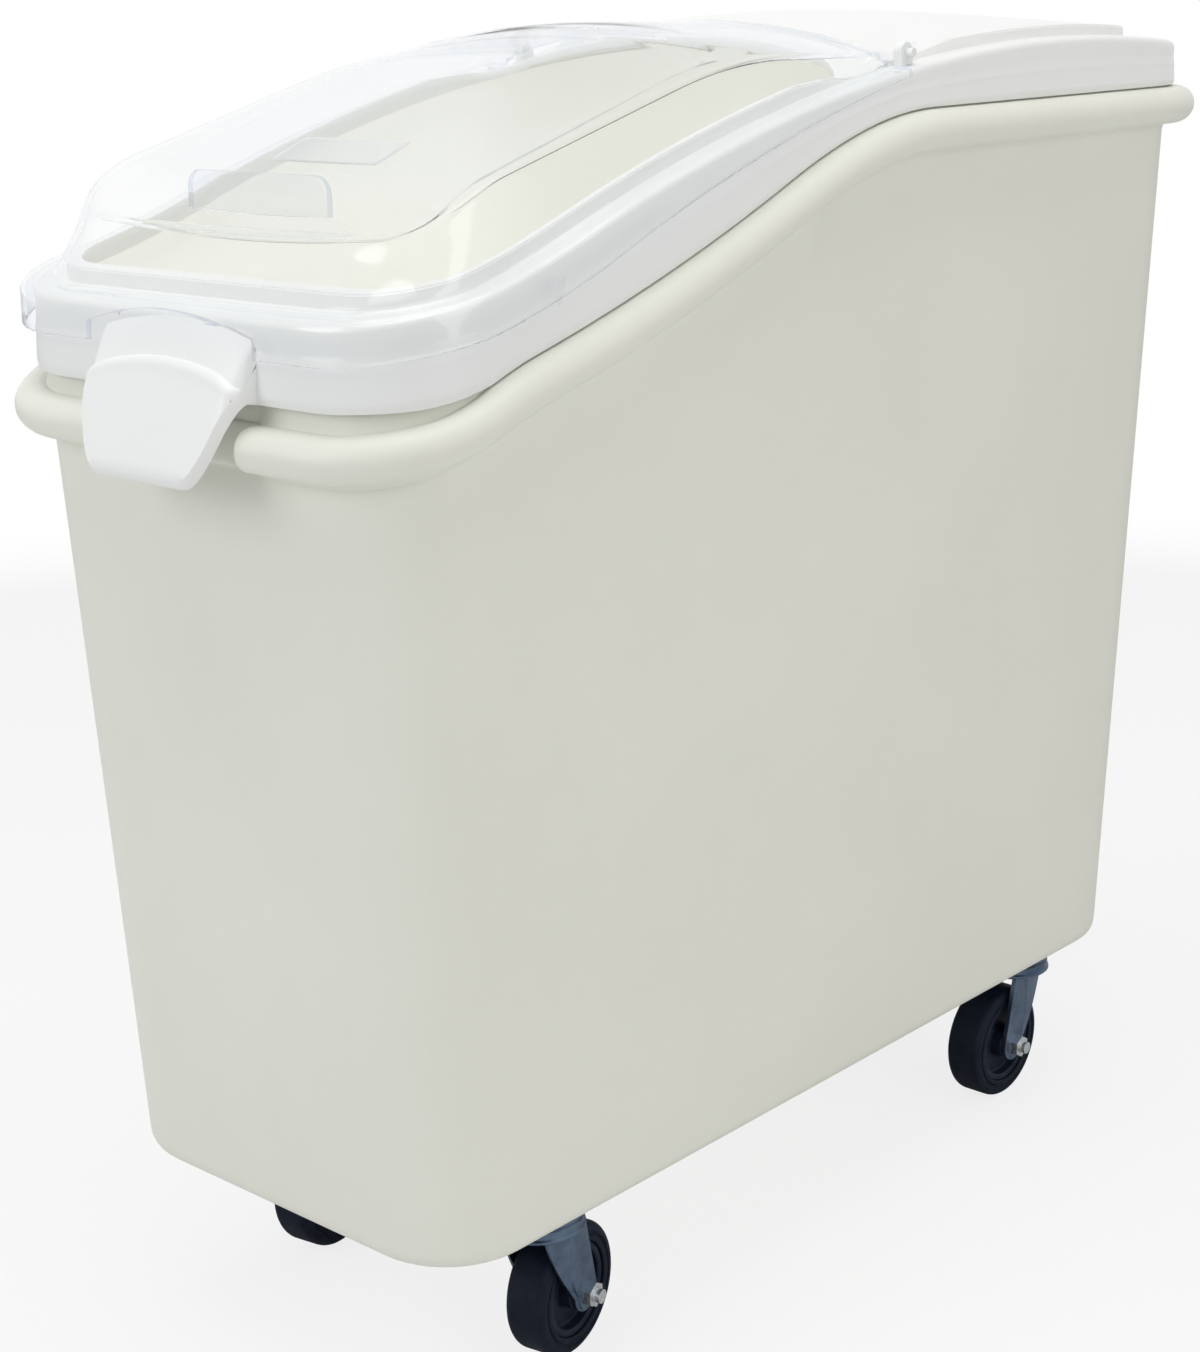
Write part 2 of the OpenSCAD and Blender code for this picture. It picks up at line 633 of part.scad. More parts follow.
// Name, side, end and resting swivel of each caster
casters = [
    ["front_left", -1, -1, front_swivel],
    ["front_right", 1, -1, front_swivel],
    ["rear_left", -1, 1, rear_swivel],
    ["rear_right", 1, 1, rear_swivel]];
// Y of a caster's kingpin
function kingpin_y(c) = c[2] > 0 ? rear_kingpin_y : -front_kingpin_y;
crown_top_z = -steel_t - 2 * race_h - 2 * race_gap;
crown_low_z = crown_top_z - steel_t;
axle_z = wheel_d / 2 - caster_h;
leg_x = wheel_w / 2 + leg_gap;

// Puts children on the tub's base plane at a kingpin
module at_kingpin(c) {
    placed() translate([c[1] * kingpin_x, kingpin_y(c), base_z]) children();
}
// The same, turned so that the wheel trails to local +Y
module at_swivel(c) {
    at_kingpin(c) rotate([0, 0, (c[2] > 0 ? 180 : 0) + c[3]]) children();
}
// Puts children at the axle, turned so that +Z points out of the bin's side
module at_axle(c) {
    at_swivel(c) translate([0, trail, axle_z]) rotate([0, -c[1] * c[2] * 90, 0]) children();
}
module at_screws() {
    for (c = casters) for (sx = [-1, 1]) for (sy = [-1, 1])
        translate([c[1] * kingpin_x + sx * hole_x, kingpin_y(c) + sy * hole_y, 0]) children();
}

// Flat plate outline with round corners
module plate_outline() {
    square([plate_w - 2 * plate_corner_r, plate_l], center = true);
    square([plate_w, plate_l - 2 * plate_corner_r], center = true);
    for (sx = [-1, 1]) for (sy = [-1, 1])
        translate([sx * (plate_w / 2 - plate_corner_r), sy * (plate_l / 2 - plate_corner_r)])
            circle(plate_corner_r);
}

// Round groove that the balls run in
module ball_groove() {
    translate([0, 0, -steel_t - race_h - race_gap]) rotate_extrude()
        translate([race_r, 0]) circle(ball_r + run_fit);
}

module caster_plate(c) {
    color(zinc) at_kingpin(c) difference() {
        union() {
            translate([0, 0, -steel_t]) linear_extrude(steel_t) plate_outline();
            translate([0, 0, -steel_t - race_h]) cylinder(r = race_rim_r, h = race_h);
        }
        translate([0, 0, -steel_t - race_h - over])
            cylinder(r = kingpin_r + run_fit, h = steel_t + race_h + 2 * over);
        translate([0, 0, -rivet_top_h]) cylinder(r = rivet_r + run_fit, h = rivet_top_h + over);
        ball_groove();
        for (sx = [-1, 1]) for (sy = [-1, 1])
            translate([sx * hole_x, sy * hole_y, -steel_t - over])
                cylinder(d = screw_d + 2 * run_fit, h = steel_t + 2 * over);
    }
}

module caster_balls(c) {
    color(zinc) at_swivel(c)
        for (k = [0:ball_count - 1]) rotate([0, 0, 360 * k / ball_count])
            translate([race_r, 0, -steel_t - race_h - race_gap]) sphere(ball_r);
}

module caster_kingpin(c) {
    color(zinc) at_kingpin(c) {
        translate([0, 0, -rivet_top_h]) cylinder(r = rivet_r, h = rivet_top_h);
        translate([0, 0, crown_low_z - race_gap]) cylinder(r = kingpin_r, h = -crown_low_z);
        translate([0, 0, crown_low_z - race_gap - rivet_h]) cylinder(r = rivet_r, h = rivet_h);
    }
}

module caster_fork(c) {
    color(zinc) at_swivel(c) difference() {
        union() {
            translate([0, 0, crown_top_z]) cylinder(r = race_rim_r, h = race_h);
            translate([0, 0, crown_low_z]) cylinder(r = crown_r, h = steel_t);
            translate([-leg_x - leg_t, -leg_top_half, crown_low_z])
                cube([2 * (leg_x + leg_t), 2 * leg_top_half + leg_step, steel_t]);
            for (side = [-1, 1]) fork_leg(side);
        }
        translate([0, 0, crown_low_z - over])
            cylinder(r = kingpin_r + run_fit, h = steel_t + race_h + 2 * over);
        ball_groove();
        translate([-leg_x - leg_t - over, trail, axle_z]) rotate([0, 90, 0])
            cylinder(d = axle_d + 2 * run_fit, h = 2 * (leg_x + leg_t + over));
    }
}

// One leg of the fork, from the crown to the axle
module fork_leg(side) {
    translate([side > 0 ? leg_x : -leg_x - leg_t, 0, 0]) rotate([90, 0, 90]) linear_extrude(leg_t) {
        polygon([
            [-leg_top_half, crown_low_z],
            [leg_top_half + leg_step, crown_low_z],
            [trail + leg_end_r, axle_z],
            [trail - leg_end_r, axle_z]]);
        translate([trail, axle_z]) circle(leg_end_r);
    }
}

module caster_axle_sleeve(c) {
    color(zinc) at_axle(c) translate([0, 0, -leg_x]) difference() {
        cylinder(r = sleeve_r, h = 2 * leg_x);
        translate([0, 0, -over]) cylinder(d = axle_d + 2 * run_fit, h = 2 * (leg_x + over));
    }
}

module caster_axle_bolt(c) {
    color(zinc) at_axle(c) {
        translate([0, 0, -leg_x - leg_t - bolt_head_h])
            cylinder(d = axle_d * hex_share, h = bolt_head_h, $fn = 6);
        translate([0, 0, -leg_x - leg_t - bolt_head_h / 2])
            cylinder(d = axle_d, h = 2 * (leg_x + leg_t) + bolt_head_h / 2 + nut_h + bolt_tail);
    }
}

module caster_axle_nut(c) {
    color(zinc) at_axle(c) translate([0, 0, leg_x + leg_t]) difference() {
        cylinder(d = axle_d * hex_share, h = nut_h, $fn = 6);
        translate([0, 0, -over]) cylinder(d = axle_d + 2 * run_fit, h = nut_h + 2 * over);
    }
}

module caster_wheel_core(c) {
    hub_half = wheel_w / 2 + hub_side;
    rim_half = wheel_w / 2 - hub_side;
    rim_in_r = core_r - rim_t;
    bore = sleeve_r + run_fit;
    color(rubber) at_axle(c) rotate_extrude() polygon([
        [bore, -hub_half],
        [hub_r, -hub_half],
        [hub_r, -web_t / 2],
        [rim_in_r, -web_t / 2],
        [rim_in_r, -rim_half],
        [core_r, -rim_half],
        [core_r, rim_half],
        [rim_in_r, rim_half],
        [rim_in_r, web_t / 2],
        [hub_r, web_t / 2],
        [hub_r, hub_half],
        [bore, hub_half]]);
}

module caster_tyre(c) {
    wheel_r = wheel_d / 2;
    groove_r = (core_r + wheel_r) / 2;
    seat_r = core_r + touch_gap;
    color(rubber) at_axle(c) rotate_extrude() difference() {
        union() {
            translate([seat_r, -wheel_w / 2]) square([wheel_r - tread_round - seat_r, wheel_w]);
            translate([seat_r, tread_round - wheel_w / 2])
                square([wheel_r - seat_r, wheel_w - 2 * tread_round]);
            for (side = [-1, 1]) translate([wheel_r - tread_round, side * (wheel_w / 2 - tread_round)])
                circle(tread_round);
        }
        for (side = [-1, 1]) translate([groove_r - groove_w, side * wheel_w / 2]) circle(groove_w);
    }
}

// Screws with their heads inside the tub, large washers under the heads, nuts under the plates
module plate_screws() {
    head_z = base_z + floor_t + washer_t;
    tip_z = base_z - steel_t - screw_nut_h - screw_tail;
    color(zinc) placed() at_screws() {
        translate([0, 0, head_z]) cylinder(d = screw_d * head_share, h = screw_head_h);
        translate([0, 0, tip_z]) cylinder(d = screw_d, h = head_z - tip_z + screw_head_h / 2);
    }
}
module screw_washers() {
    color(zinc) placed() at_screws() translate([0, 0, base_z + floor_t]) difference() {
        cylinder(d = screw_d * washer_share, h = washer_t);
        translate([0, 0, -over]) cylinder(d = screw_d + 2 * run_fit, h = washer_t + 2 * over);
    }
}
module screw_nuts() {
    color(zinc) placed() at_screws() translate([0, 0, base_z - steel_t - screw_nut_h]) difference() {
        cylinder(d = screw_d * hex_share, h = screw_nut_h, $fn = 6);
        translate([0, 0, -over]) cylinder(d = screw_d + 2 * run_fit, h = screw_nut_h + 2 * over);
    }
}

bin_tub();
lid_frame();
lid_pivot(-1);  // lid_pivot_left
lid_pivot(1);  // lid_pivot_right
clear_lid();
finger_fin();
lid_ear(-1);  // lid_ear_left
lid_ear(1);  // lid_ear_right
plate_screws();
screw_washers();
screw_nuts();
for (c = casters) {
    caster_plate(c);
    caster_balls(c);
    caster_kingpin(c);
    caster_fork(c);
    caster_axle_sleeve(c);
    caster_axle_bolt(c);
    caster_axle_nut(c);
    caster_wheel_core(c);
    caster_tyre(c);
}
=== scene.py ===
"""Looks of a rolling flour bin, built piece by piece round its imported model."""

import logging
import math
from dataclasses import dataclass
from enum import Enum
from typing import Callable, Sequence

import bmesh
import bpy
from mathutils import Matrix, Vector


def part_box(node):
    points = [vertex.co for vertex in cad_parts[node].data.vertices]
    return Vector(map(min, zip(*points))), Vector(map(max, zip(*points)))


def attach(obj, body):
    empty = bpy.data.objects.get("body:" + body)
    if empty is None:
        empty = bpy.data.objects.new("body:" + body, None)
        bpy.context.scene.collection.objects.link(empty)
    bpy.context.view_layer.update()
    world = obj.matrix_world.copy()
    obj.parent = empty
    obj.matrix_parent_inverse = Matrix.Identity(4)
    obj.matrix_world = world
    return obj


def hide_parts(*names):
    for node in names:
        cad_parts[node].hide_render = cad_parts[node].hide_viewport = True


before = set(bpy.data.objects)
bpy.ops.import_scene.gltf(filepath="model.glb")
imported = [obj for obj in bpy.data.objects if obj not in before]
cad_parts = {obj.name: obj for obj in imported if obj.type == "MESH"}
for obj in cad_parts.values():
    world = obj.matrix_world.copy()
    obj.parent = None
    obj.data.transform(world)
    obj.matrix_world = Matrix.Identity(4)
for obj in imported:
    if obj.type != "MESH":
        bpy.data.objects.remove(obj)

LOG = logging.getLogger("flour_bin")
MM = 0.001
# Y of the tub's middle in the shared frame, in millimetres
SHIFT_Y = 8.75
WHITE = (1.0, 1.0, 1.0, 1.0)
# Resting swivel of the forks about Z, in degrees
FRONT_SWIVEL, REAR_SWIVEL = 10.0, 180.0

Flat = tuple[float, float]
Point = tuple[float, float, float]
Color = tuple[float, float, float]


class Body(Enum):
    """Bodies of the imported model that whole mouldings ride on."""

    BIN = "bin"
    FRAME = "frame"
    LID = "lid"


class Corner(Enum):
    """The four casters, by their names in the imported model."""

    FRONT_LEFT = "front_left"
    FRONT_RIGHT = "front_right"
    REAR_LEFT = "rear_left"
    REAR_RIGHT = "rear_right"

    @property
    def swivel(self) -> float:
        """Resting swivel of the fork about Z, in radians."""
        return math.radians(FRONT_SWIVEL if self.value.startswith("front") else REAR_SWIVEL)


def clamp(v: float) -> float:
    """Limits v to 0 and 1."""
    return max(0.0, min(1.0, v))


def mix(a: float, b: float, s: float) -> float:
    """Value at share s of the way from a to b."""
    return a + (b - a) * s


def smooth_step(v: float) -> float:
    """Soft step from 0 to 1 over v from 0 to 1."""
    v = clamp(v)
    return v * v * (3.0 - 2.0 * v)


def smooth_min(a: float, b: float, k: float) -> float:
    """Soft lower bound of a and b, rounded over k."""
    h = clamp(0.5 + (b - a) / (2.0 * k))
    return b * (1.0 - h) + a * h - k * h * (1.0 - h)


def arc_shares(steps: int) -> list[Flat]:
    """Sine and cosine of evenly spaced angles over a quarter turn."""
    angles = [math.pi / 2 * k / steps for k in range(steps + 1)]
    return [(math.sin(a), math.cos(a)) for a in angles]


@dataclass(frozen=True)
class BinLines:
    """Side lines and plan sizes that the mouldings share, in millimetres from the tub's middle."""

    half_l: float = 371.5
    half_w: float = 165.0
    corner_r: float = 52.0
    bead_out: float = 19.0
    bead_h: float = 22.0
    rim_front_z: float = 521.0
    rim_rear_z: float = 642.0
    rim_sweep: float = 0.44
    rim_rise: float = 4.0
    rim_blend: float = 30.0
    rim_dip: float = 7.0
    dip_start: float = 100.0
    dip_run: float = 70.0
    knee_y: float = -9.0
    skirt_r: float = 57.0
    skirt_gap: Flat = (7.0, 1.0)
    ledge_front_z: float = 586.0
    ledge_top_z: float = 700.0
    ledge_pitch: float = 0.2
    ledge_run: float = 210.0
    ledge_blend: float = 9.0
    top_radius: float = 1260.0
    apex_y: float = 211.5
    coaming_r: float = 42.0
    mouth_r: float = 38.0
    mouth_rear_y: float = 10.0
    roof_rear_y: float = 306.5
    roof_crown: Flat = (19.0, 2.0)
    roof_step: Flat = (1.5, 6.5)
    roof_ease: float = 60.0
    coaming_h: float = 8.0
    shelf_y: float = 30.0
    shelf_start: float = 33.0
    shelf_run: float = 30.0
    shelf_drop: float = 3.5
    lid_rear_y: float = 20.0
    lid_r: float = 64.0
    dome_r: float = 47.0
    dome_half: float = 134.0
    lid_t: float = 2.5
    lid_gap: float = 0.5
    lid_lap: Flat = (2.0, 17.0)
    fin_y: float = -303.5
    arch_half: float = 61.0
    arch_low: float = 9.0
    arch_rise: float = 10.0
    crest_rise: Flat = (45.0, 10.0)
    crest_start: float = 15.0
    crest_run: float = 233.0
    crest_blend: float = 12.0
    crest_dip: float = 14.0
    crest_gap: float = 5.0
    crown_pitch: float = 0.133
    crown_low: float = 8.0
    crown_top: float = 17.5
    crown_blend: float = 6.0

    @property
    def run_x(self) -> float:
        """Half length of the straight run across the rim."""
        return self.half_w - self.bead_out - self.corner_r

    @property
    def run_y(self) -> float:
        """Half length of the straight run along the rim."""
        return self.half_l - self.bead_out - self.corner_r

    @property
    def front_y(self) -> float:
        """Front face of the frame's skirt."""
        return -self.run_y - self.skirt_r

    def dip(self, y: float) -> float:
        """Share of the dip round the front corners at y."""
        return smooth_step((self.dip_start - self.half_l - y) / self.dip_run)

    def rim_z(self, y: float) -> float:
        """Lower edge of the rim bead at y.

        Args:
            y: Place along the bin.

        Returns:
            The height in millimetres.
        """
        u = (y + self.half_l) / (self.knee_y + self.half_l)
        slope = mix(self.rim_front_z, self.rim_rear_z, mix(u, u * u, self.rim_sweep))
        level = self.rim_rear_z + self.rim_rise * (y - self.knee_y) / (self.half_l - self.knee_y)
        return smooth_min(slope, level, self.rim_blend) - self.rim_dip * self.dip(y)

    def ledge_z(self, y: float) -> float:
        """Top of the frame's ledge at y.

        Args:
            y: Place along the bin.

        Returns:
            The height in millimetres.
        """
        drop = self.top_radius - math.sqrt(self.top_radius**2 - (y - self.apex_y) ** 2)
        arc = self.ledge_top_z - drop
        ahead = y - self.front_y
        if ahead > self.ledge_run:
            return arc
        return -smooth_min(-arc, -self.ledge_front_z - self.ledge_pitch * ahead, self.ledge_blend)

    def skirt_z(self, y: float) -> float:
        """Lower edge of the frame's skirt at y."""
        front, side = self.skirt_gap
        return self.rim_z(y) + self.bead_h + mix(side, front, clamp((-self.run_y - y) / self.corner_r))

    def shoulder_z(self, y: float) -> float:
        """Top of the lid's shoulder at y."""
        return self.ledge_z(y) + self.lid_gap + self.lid_t

    def lid_low_z(self, x: float, y: float) -> float:
        """Lower edge of the lid's skirt at a plan point, with its arch over the pull.

        Args:
            x: Place across the bin.
            y: Place along the bin.

        Returns:
            The height in millimetres.
        """
        if abs(x) < self.arch_half + 0.3 and y < -self.run_y - self.corner_r:
            return self.arch_z(x)
        ahead = clamp((self.lid_rear_y - y) / (self.run_y - self.corner_r))
        return self.ledge_z(y) - mix(*self.lid_lap, ahead)

    def arch_z(self, x: float) -> float:
        """Arch of the lid's front skirt over the pull."""
        rise = self.arch_rise * (1.0 - (x / self.arch_half) ** 2)
        return self.ledge_front_z - self.arch_low + rise

    def crest_z(self, y: float) -> float:
        """Crest of the lid's dome at y.

        Args:
            y: Place along the bin.

        Returns:
            The height in millimetres.
        """
        front = self.ledge_front_z + self.crest_rise[0]
        rear = self.ledge_z(self.lid_rear_y) + self.crest_rise[1]
        behind = y + self.run_y + self.corner_r - self.crest_start
        slope = mix(front, rear, behind / self.crest_run)
        return smooth_min(slope, rear, self.crest_blend) - self.crest_dip * self.dip(y)

    def crown_h(self, y: float) -> float:
        """Rise of the dome between its crests at y."""
        rise = self.crown_pitch * (y - self.fin_y) - self.crown_low
        return smooth_min(rise, self.crown_top, self.crown_blend)

    def dome_z(self, x: float, y: float) -> float:
        """Top of the dome at a plan point."""
        return self.crest_z(y) + self.crown_h(y) * (1.0 - (x / self.dome_half) ** 2)

    def roof_z(self, x: float, y: float) -> float:
        """Top of the rear roof at a plan point.

        Args:
            x: Place across the bin.
            y: Place along the bin.

        Returns:
            The height in millimetres.
        """
        bow = 1.0 - (x / (self.run_x + self.coaming_r)) ** 2
        behind = y - self.shelf_y
        crown = mix(*self.roof_crown, clamp(behind / (self.roof_rear_y - self.shelf_y)))
        edge = max(clamp(2.0 * bow), clamp(behind / self.roof_ease))
        return self.ledge_z(y) + mix(*self.roof_step, edge) + crown * bow

    def coaming_z(self, y: float) -> float:
        """Top of the coaming round the opening at y."""
        room = self.crest_z(y) - self.crest_gap - self.lid_t - self.ledge_z(y)
        return self.ledge_z(y) + min(self.coaming_h, room / 2.0)

    def frame_top_z(self, x: float, y: float) -> float:
        """Top of the frame inside its ledge at a plan point: roof, shelf or coaming.

        Args:
            x: Place across the bin.
            y: Place along the bin.

        Returns:
            The height in millimetres.
        """
        if y > self.shelf_y:
            return self.roof_z(x, y)
        rise = smooth_step((y - self.mouth_rear_y + self.shelf_start) / self.shelf_run)
        bow = max(0.0, 1.0 - (x / (self.run_x + self.mouth_r)) ** 2)
        coaming = self.coaming_z(y)
        shelf = min(self.roof_z(x, y) - self.shelf_drop, coaming + self.roof_crown[0] * bow)
        return mix(coaming, shelf, rise)


LINES = BinLines()
# X of the mesh columns across the front, closer together at the pull's sides
FRONT_STATIONS = [
    *(3.0 * k for k in range(17)), 49.5, 50.8, 52.0, 53.0, 53.8, 54.4, 54.8, 55.0,
    55.8, 56.8, 58.0, 60.0, 61.2, 61.5, 65.0, 70.0, 76.0, 82.0, 88.0,
]
CORNER_STEPS, SPIN_STEPS = 12, 96
# Points closer together than this are one, in metres
WELD = 2e-6


@dataclass(frozen=True)
class Outline:
    """A plan outline with straight runs and round corners, in millimetres.

    Attributes:
        run: Half length of the straight run across the front.
        front_y: Y where the front corners start.
        rear_y: Y of the rear edge.
        r: Radius of the front corners.
        rear_r: Radius of the rear corners.
        steps: Steps along each side.
    """

    run: float
    front_y: float
    rear_y: float
    r: float
    rear_r: float
    steps: int = 56

    def open_half(self, end_y: float) -> list[Flat]:
        """Right half from the front middle along the side to end_y.

        Args:
            end_y: Y where the side ends.

        Returns:
            Plan points from the front middle on.
        """
        scale = self.run / LINES.run_x
        points = [(x * scale, self.front_y - self.r) for x in FRONT_STATIONS]
        points += [(self.run + self.r * s, self.front_y - self.r * c) for s, c in arc_shares(CORNER_STEPS)]
        shares = [k / self.steps for k in range(1, self.steps + 1)]
        return points + [(self.run + self.r, mix(self.front_y, end_y, share)) for share in shares]

    def closed(self) -> list[Flat]:
        """The whole outline from the front middle round the right side.

        Returns:
            Plan points in order, without a repeat of the first.
        """
        half = self.open_half(self.rear_y - self.rear_r)
        across = self.run + self.r - self.rear_r
        for s, c in arc_shares(CORNER_STEPS)[1:]:
            half.append((across + self.rear_r * c, self.rear_y - self.rear_r * (1.0 - s)))
        half += [(x / LINES.run_x * across, self.rear_y) for x in reversed(FRONT_STATIONS)]
        return half + [(-x, y) for x, y in reversed(half[1:-1])]

    def horseshoe(self) -> list[Flat]:
        """The outline without its rear edge, from the rear left round the front to the rear right."""
        half = self.open_half(self.rear_y)
        return [(-x, y) for x, y in reversed(half[1:])] + half


class Skin:
    """A mesh that grows from rings of points, in millimetres from the tub's middle."""

    def __init__(self) -> None:
        """Starts an empty skin."""
        self.points: list[Point] = []
        self.faces: list[list[int]] = []

    def ring(self, points: Sequence[Point]) -> list[int]:
        """Adds points and returns their numbers."""
        self.points.extend(points)
        return list(range(len(self.points) - len(points), len(self.points)))

    def rows(self, rings: Sequence[Sequence[Point]], closed: bool, looped: bool = False) -> list[list[int]]:
        """Joins rings of equal length with quads.

        Args:
            rings: Rings in order.
            closed: Whether each ring closes on itself.
            looped: Whether the last ring joins the first.

        Returns:
            Point numbers of each ring.
        """
        numbers = [self.ring(r) for r in rings]
        pairs = list(zip(numbers, numbers[1:] + numbers[:1]))
        for a, b in pairs if looped else pairs[:-1]:
            count = len(a)
            for j in range(count if closed else count - 1):
                k = (j + 1) % count
                self.faces.append([a[j], a[k], b[k], b[j]])
        return numbers

    def solid(self, rings: Sequence[Sequence[Point]]) -> None:
        """Joins closed rings with quads and caps both ends."""
        numbers = self.rows(rings, closed=True)
        self.faces += [numbers[0], numbers[-1]]

    def spin(self, profile: Sequence[Flat]) -> None:
        """Turns a closed profile of radius and height about Z.

        Args:
            profile: Radius and height points in order.
        """
        angles = [2.0 * math.pi * k / SPIN_STEPS for k in range(SPIN_STEPS)]
        rings = [[(r * math.cos(a), r * math.sin(a), h) for a in angles] for r, h in profile]
        self.rows(rings, closed=True, looped=True)

    def build(self, name: str, sharp: float = 38.0, place: Matrix | None = None) -> bpy.types.Object:
        """Makes the object.

        Args:
            name: Name of the piece.
            sharp: Angle in degrees above which an edge stays sharp.
            place: Placement in metres for a skin made about its own origin.

        Returns:
            The new object, linked to the scene.
        """
        if place is None:
            place = Matrix.Translation((0.0, SHIFT_Y * MM, 0.0))
        mesh = bpy.data.meshes.new(name)
        mesh.from_pydata([tuple(place @ (Vector(p) * MM)) for p in self.points], [], self.faces)
        work = bmesh.new()
        work.from_mesh(mesh)
        bmesh.ops.remove_doubles(work, verts=work.verts, dist=WELD)
        bmesh.ops.recalc_face_normals(work, faces=work.faces)
        work.to_mesh(mesh)
        work.free()
        mesh.shade_smooth()
        mesh.set_sharp_from_angle(angle=math.radians(sharp))
        obj = bpy.data.objects.new(name, mesh)
        bpy.context.scene.collection.objects.link(obj)
        return obj


def soften(obj: bpy.types.Object, width: float) -> None:
    """Rounds a piece's sharp edges by a bevel.

    Args:
        obj: The piece.
        width: Width of the bevel in metres.
    """
    bevel = obj.modifiers.new("soft_edges", "BEVEL")
    bevel.width = width
    bevel.segments = 2
    bevel.limit_method = "ANGLE"
    bevel.angle_limit = math.radians(40.0)


def thicken(obj: bpy.types.Object, thickness: float, rim: int = 0) -> None:
    """Makes a sheet a shell that grows inward.

    Args:
        obj: The sheet.
        thickness: Thickness in metres.
        rim: How many slots after the sheet's own the rim's material lies.
    """
    shell = obj.modifiers.new("thickness", "SOLIDIFY")
    shell.thickness = thickness
    shell.offset = -1.0
    shell.material_offset_rim = rim


Socket = bpy.types.NodeSocket


class Nodes:
    """A node tree with the few kinds of nodes that the looks share."""

    def __init__(self, tree: bpy.types.NodeTree) -> None:
        """Works in that tree."""
        self.tree = tree

    def node(self, kind: str, **values: object) -> bpy.types.Node:
        """Adds a node and sets its properties or inputs by name.

        Args:
            kind: Node type.
            **values: Properties, or inputs whose spaces are written as underscores.

        Returns:
            The new node.
        """
        node = self.tree.nodes.new(kind)
        for key, value in values.items():
            if hasattr(node, key):
                setattr(node, key, value)
            else:
                node.inputs[key.replace("_", " ")].default_value = value
        return node

    def link(self, a: Socket, b: Socket) -> None:
        """Links socket a to socket b."""
        self.tree.links.new(a, b)

    def spread(self, value: Socket, low: float, high: float, start: float = 0.0, end: float = 1.0) -> Socket:
        """Maps a value from start to end onto low to high.

        Args:
            value: The value.
            low: What start becomes.
            high: What end becomes.
            start: Lower end of the value's range.
            end: Upper end of the value's range.

        Returns:
            The output that carries it.
        """
        node = self.node("ShaderNodeMapRange", From_Min=start, From_Max=end, To_Min=low, To_Max=high)
        self.link(value, node.inputs["Value"])
        return node.outputs["Result"]

    def higher(self, a: Socket, b: Socket) -> Socket:
        """The higher of two values.

        Args:
            a: One value.
            b: The other value.

        Returns:
            The output that carries it.
        """
        node = self.node("ShaderNodeMath", operation="MAXIMUM")
        self.link(a, node.inputs[0])
        self.link(b, node.inputs[1])
        return node.outputs[0]


class Shader(Nodes):
    """A material's nodes with its principled shader, in the object's own coordinates."""

    def __init__(self, name: str) -> None:
        """Starts a material.

        Args:
            name: Name of the material.
        """
        self.material = bpy.data.materials.new(name)
        self.material.use_nodes = True
        super().__init__(self.material.node_tree)
        self.shader = self.tree.nodes["Principled BSDF"]
        self.output = self.tree.nodes["Material Output"]
        self.place = self.node("ShaderNodeTexCoord").outputs["Object"]

    def noise(self, scale: float, detail: float = 3.0) -> Socket:
        """A noise of that scale per metre, from 0 to 1.

        Args:
            scale: Scale per metre.
            detail: Number of finer layers.

        Returns:
            The output that carries it.
        """
        node = self.node("ShaderNodeTexNoise", Scale=scale, Detail=detail, Roughness=0.55)
        self.link(self.place, node.inputs["Vector"])
        return node.outputs["Fac"]

    def ramp(self, value: Socket, low: Color, high: Color, start: float = 0.3, end: float = 0.7) -> Socket:
        """Colours between low and high over a value's range.

        Args:
            value: The value.
            low: Colour at start.
            high: Colour at end.
            start: Value where the change starts.
            end: Value where it ends.

        Returns:
            The output that carries it.
        """
        node = self.node("ShaderNodeValToRGB")
        for element, place, color in zip(node.color_ramp.elements, (start, end), (low, high)):
            element.position = place
            element.color = (*color, 1.0)
        self.link(value, node.inputs["Fac"])
        return node.outputs["Color"]

    def feed(self, name: str, value: Socket) -> None:
        """Links a value to an input of the principled shader."""
        self.link(value, self.shader.inputs[name])

    def bump(self, value: Socket, depth: float, strength: float) -> None:
        """Adds a bump of that depth in metres to the shader.

        Args:
            value: Height of the relief from 0 to 1.
            depth: Depth in metres.
            strength: Share of the relief that shows.
        """
        node = self.node("ShaderNodeBump", Distance=depth, Strength=strength)
        self.link(value, node.inputs["Height"])
        self.feed("Normal", node.outputs["Normal"])

    def set(self, **values: object) -> None:
        """Sets constants on the principled shader, underscores standing for spaces."""
        for key, value in values.items():
            self.shader.inputs[key.replace("_", " ")].default_value = value

    def blend(self, share: Socket, other: bpy.types.Node) -> None:
        """Shows another shader in place of the principled one, by a share.

        Args:
            share: Share of the other shader.
            other: The other shader's node.
        """
        node = self.node("ShaderNodeMixShader")
        for number, value in enumerate((share, self.shader.outputs[0], other.outputs[0])):
            self.link(value, node.inputs[number])
        self.link(node.outputs[0], self.output.inputs["Surface"])


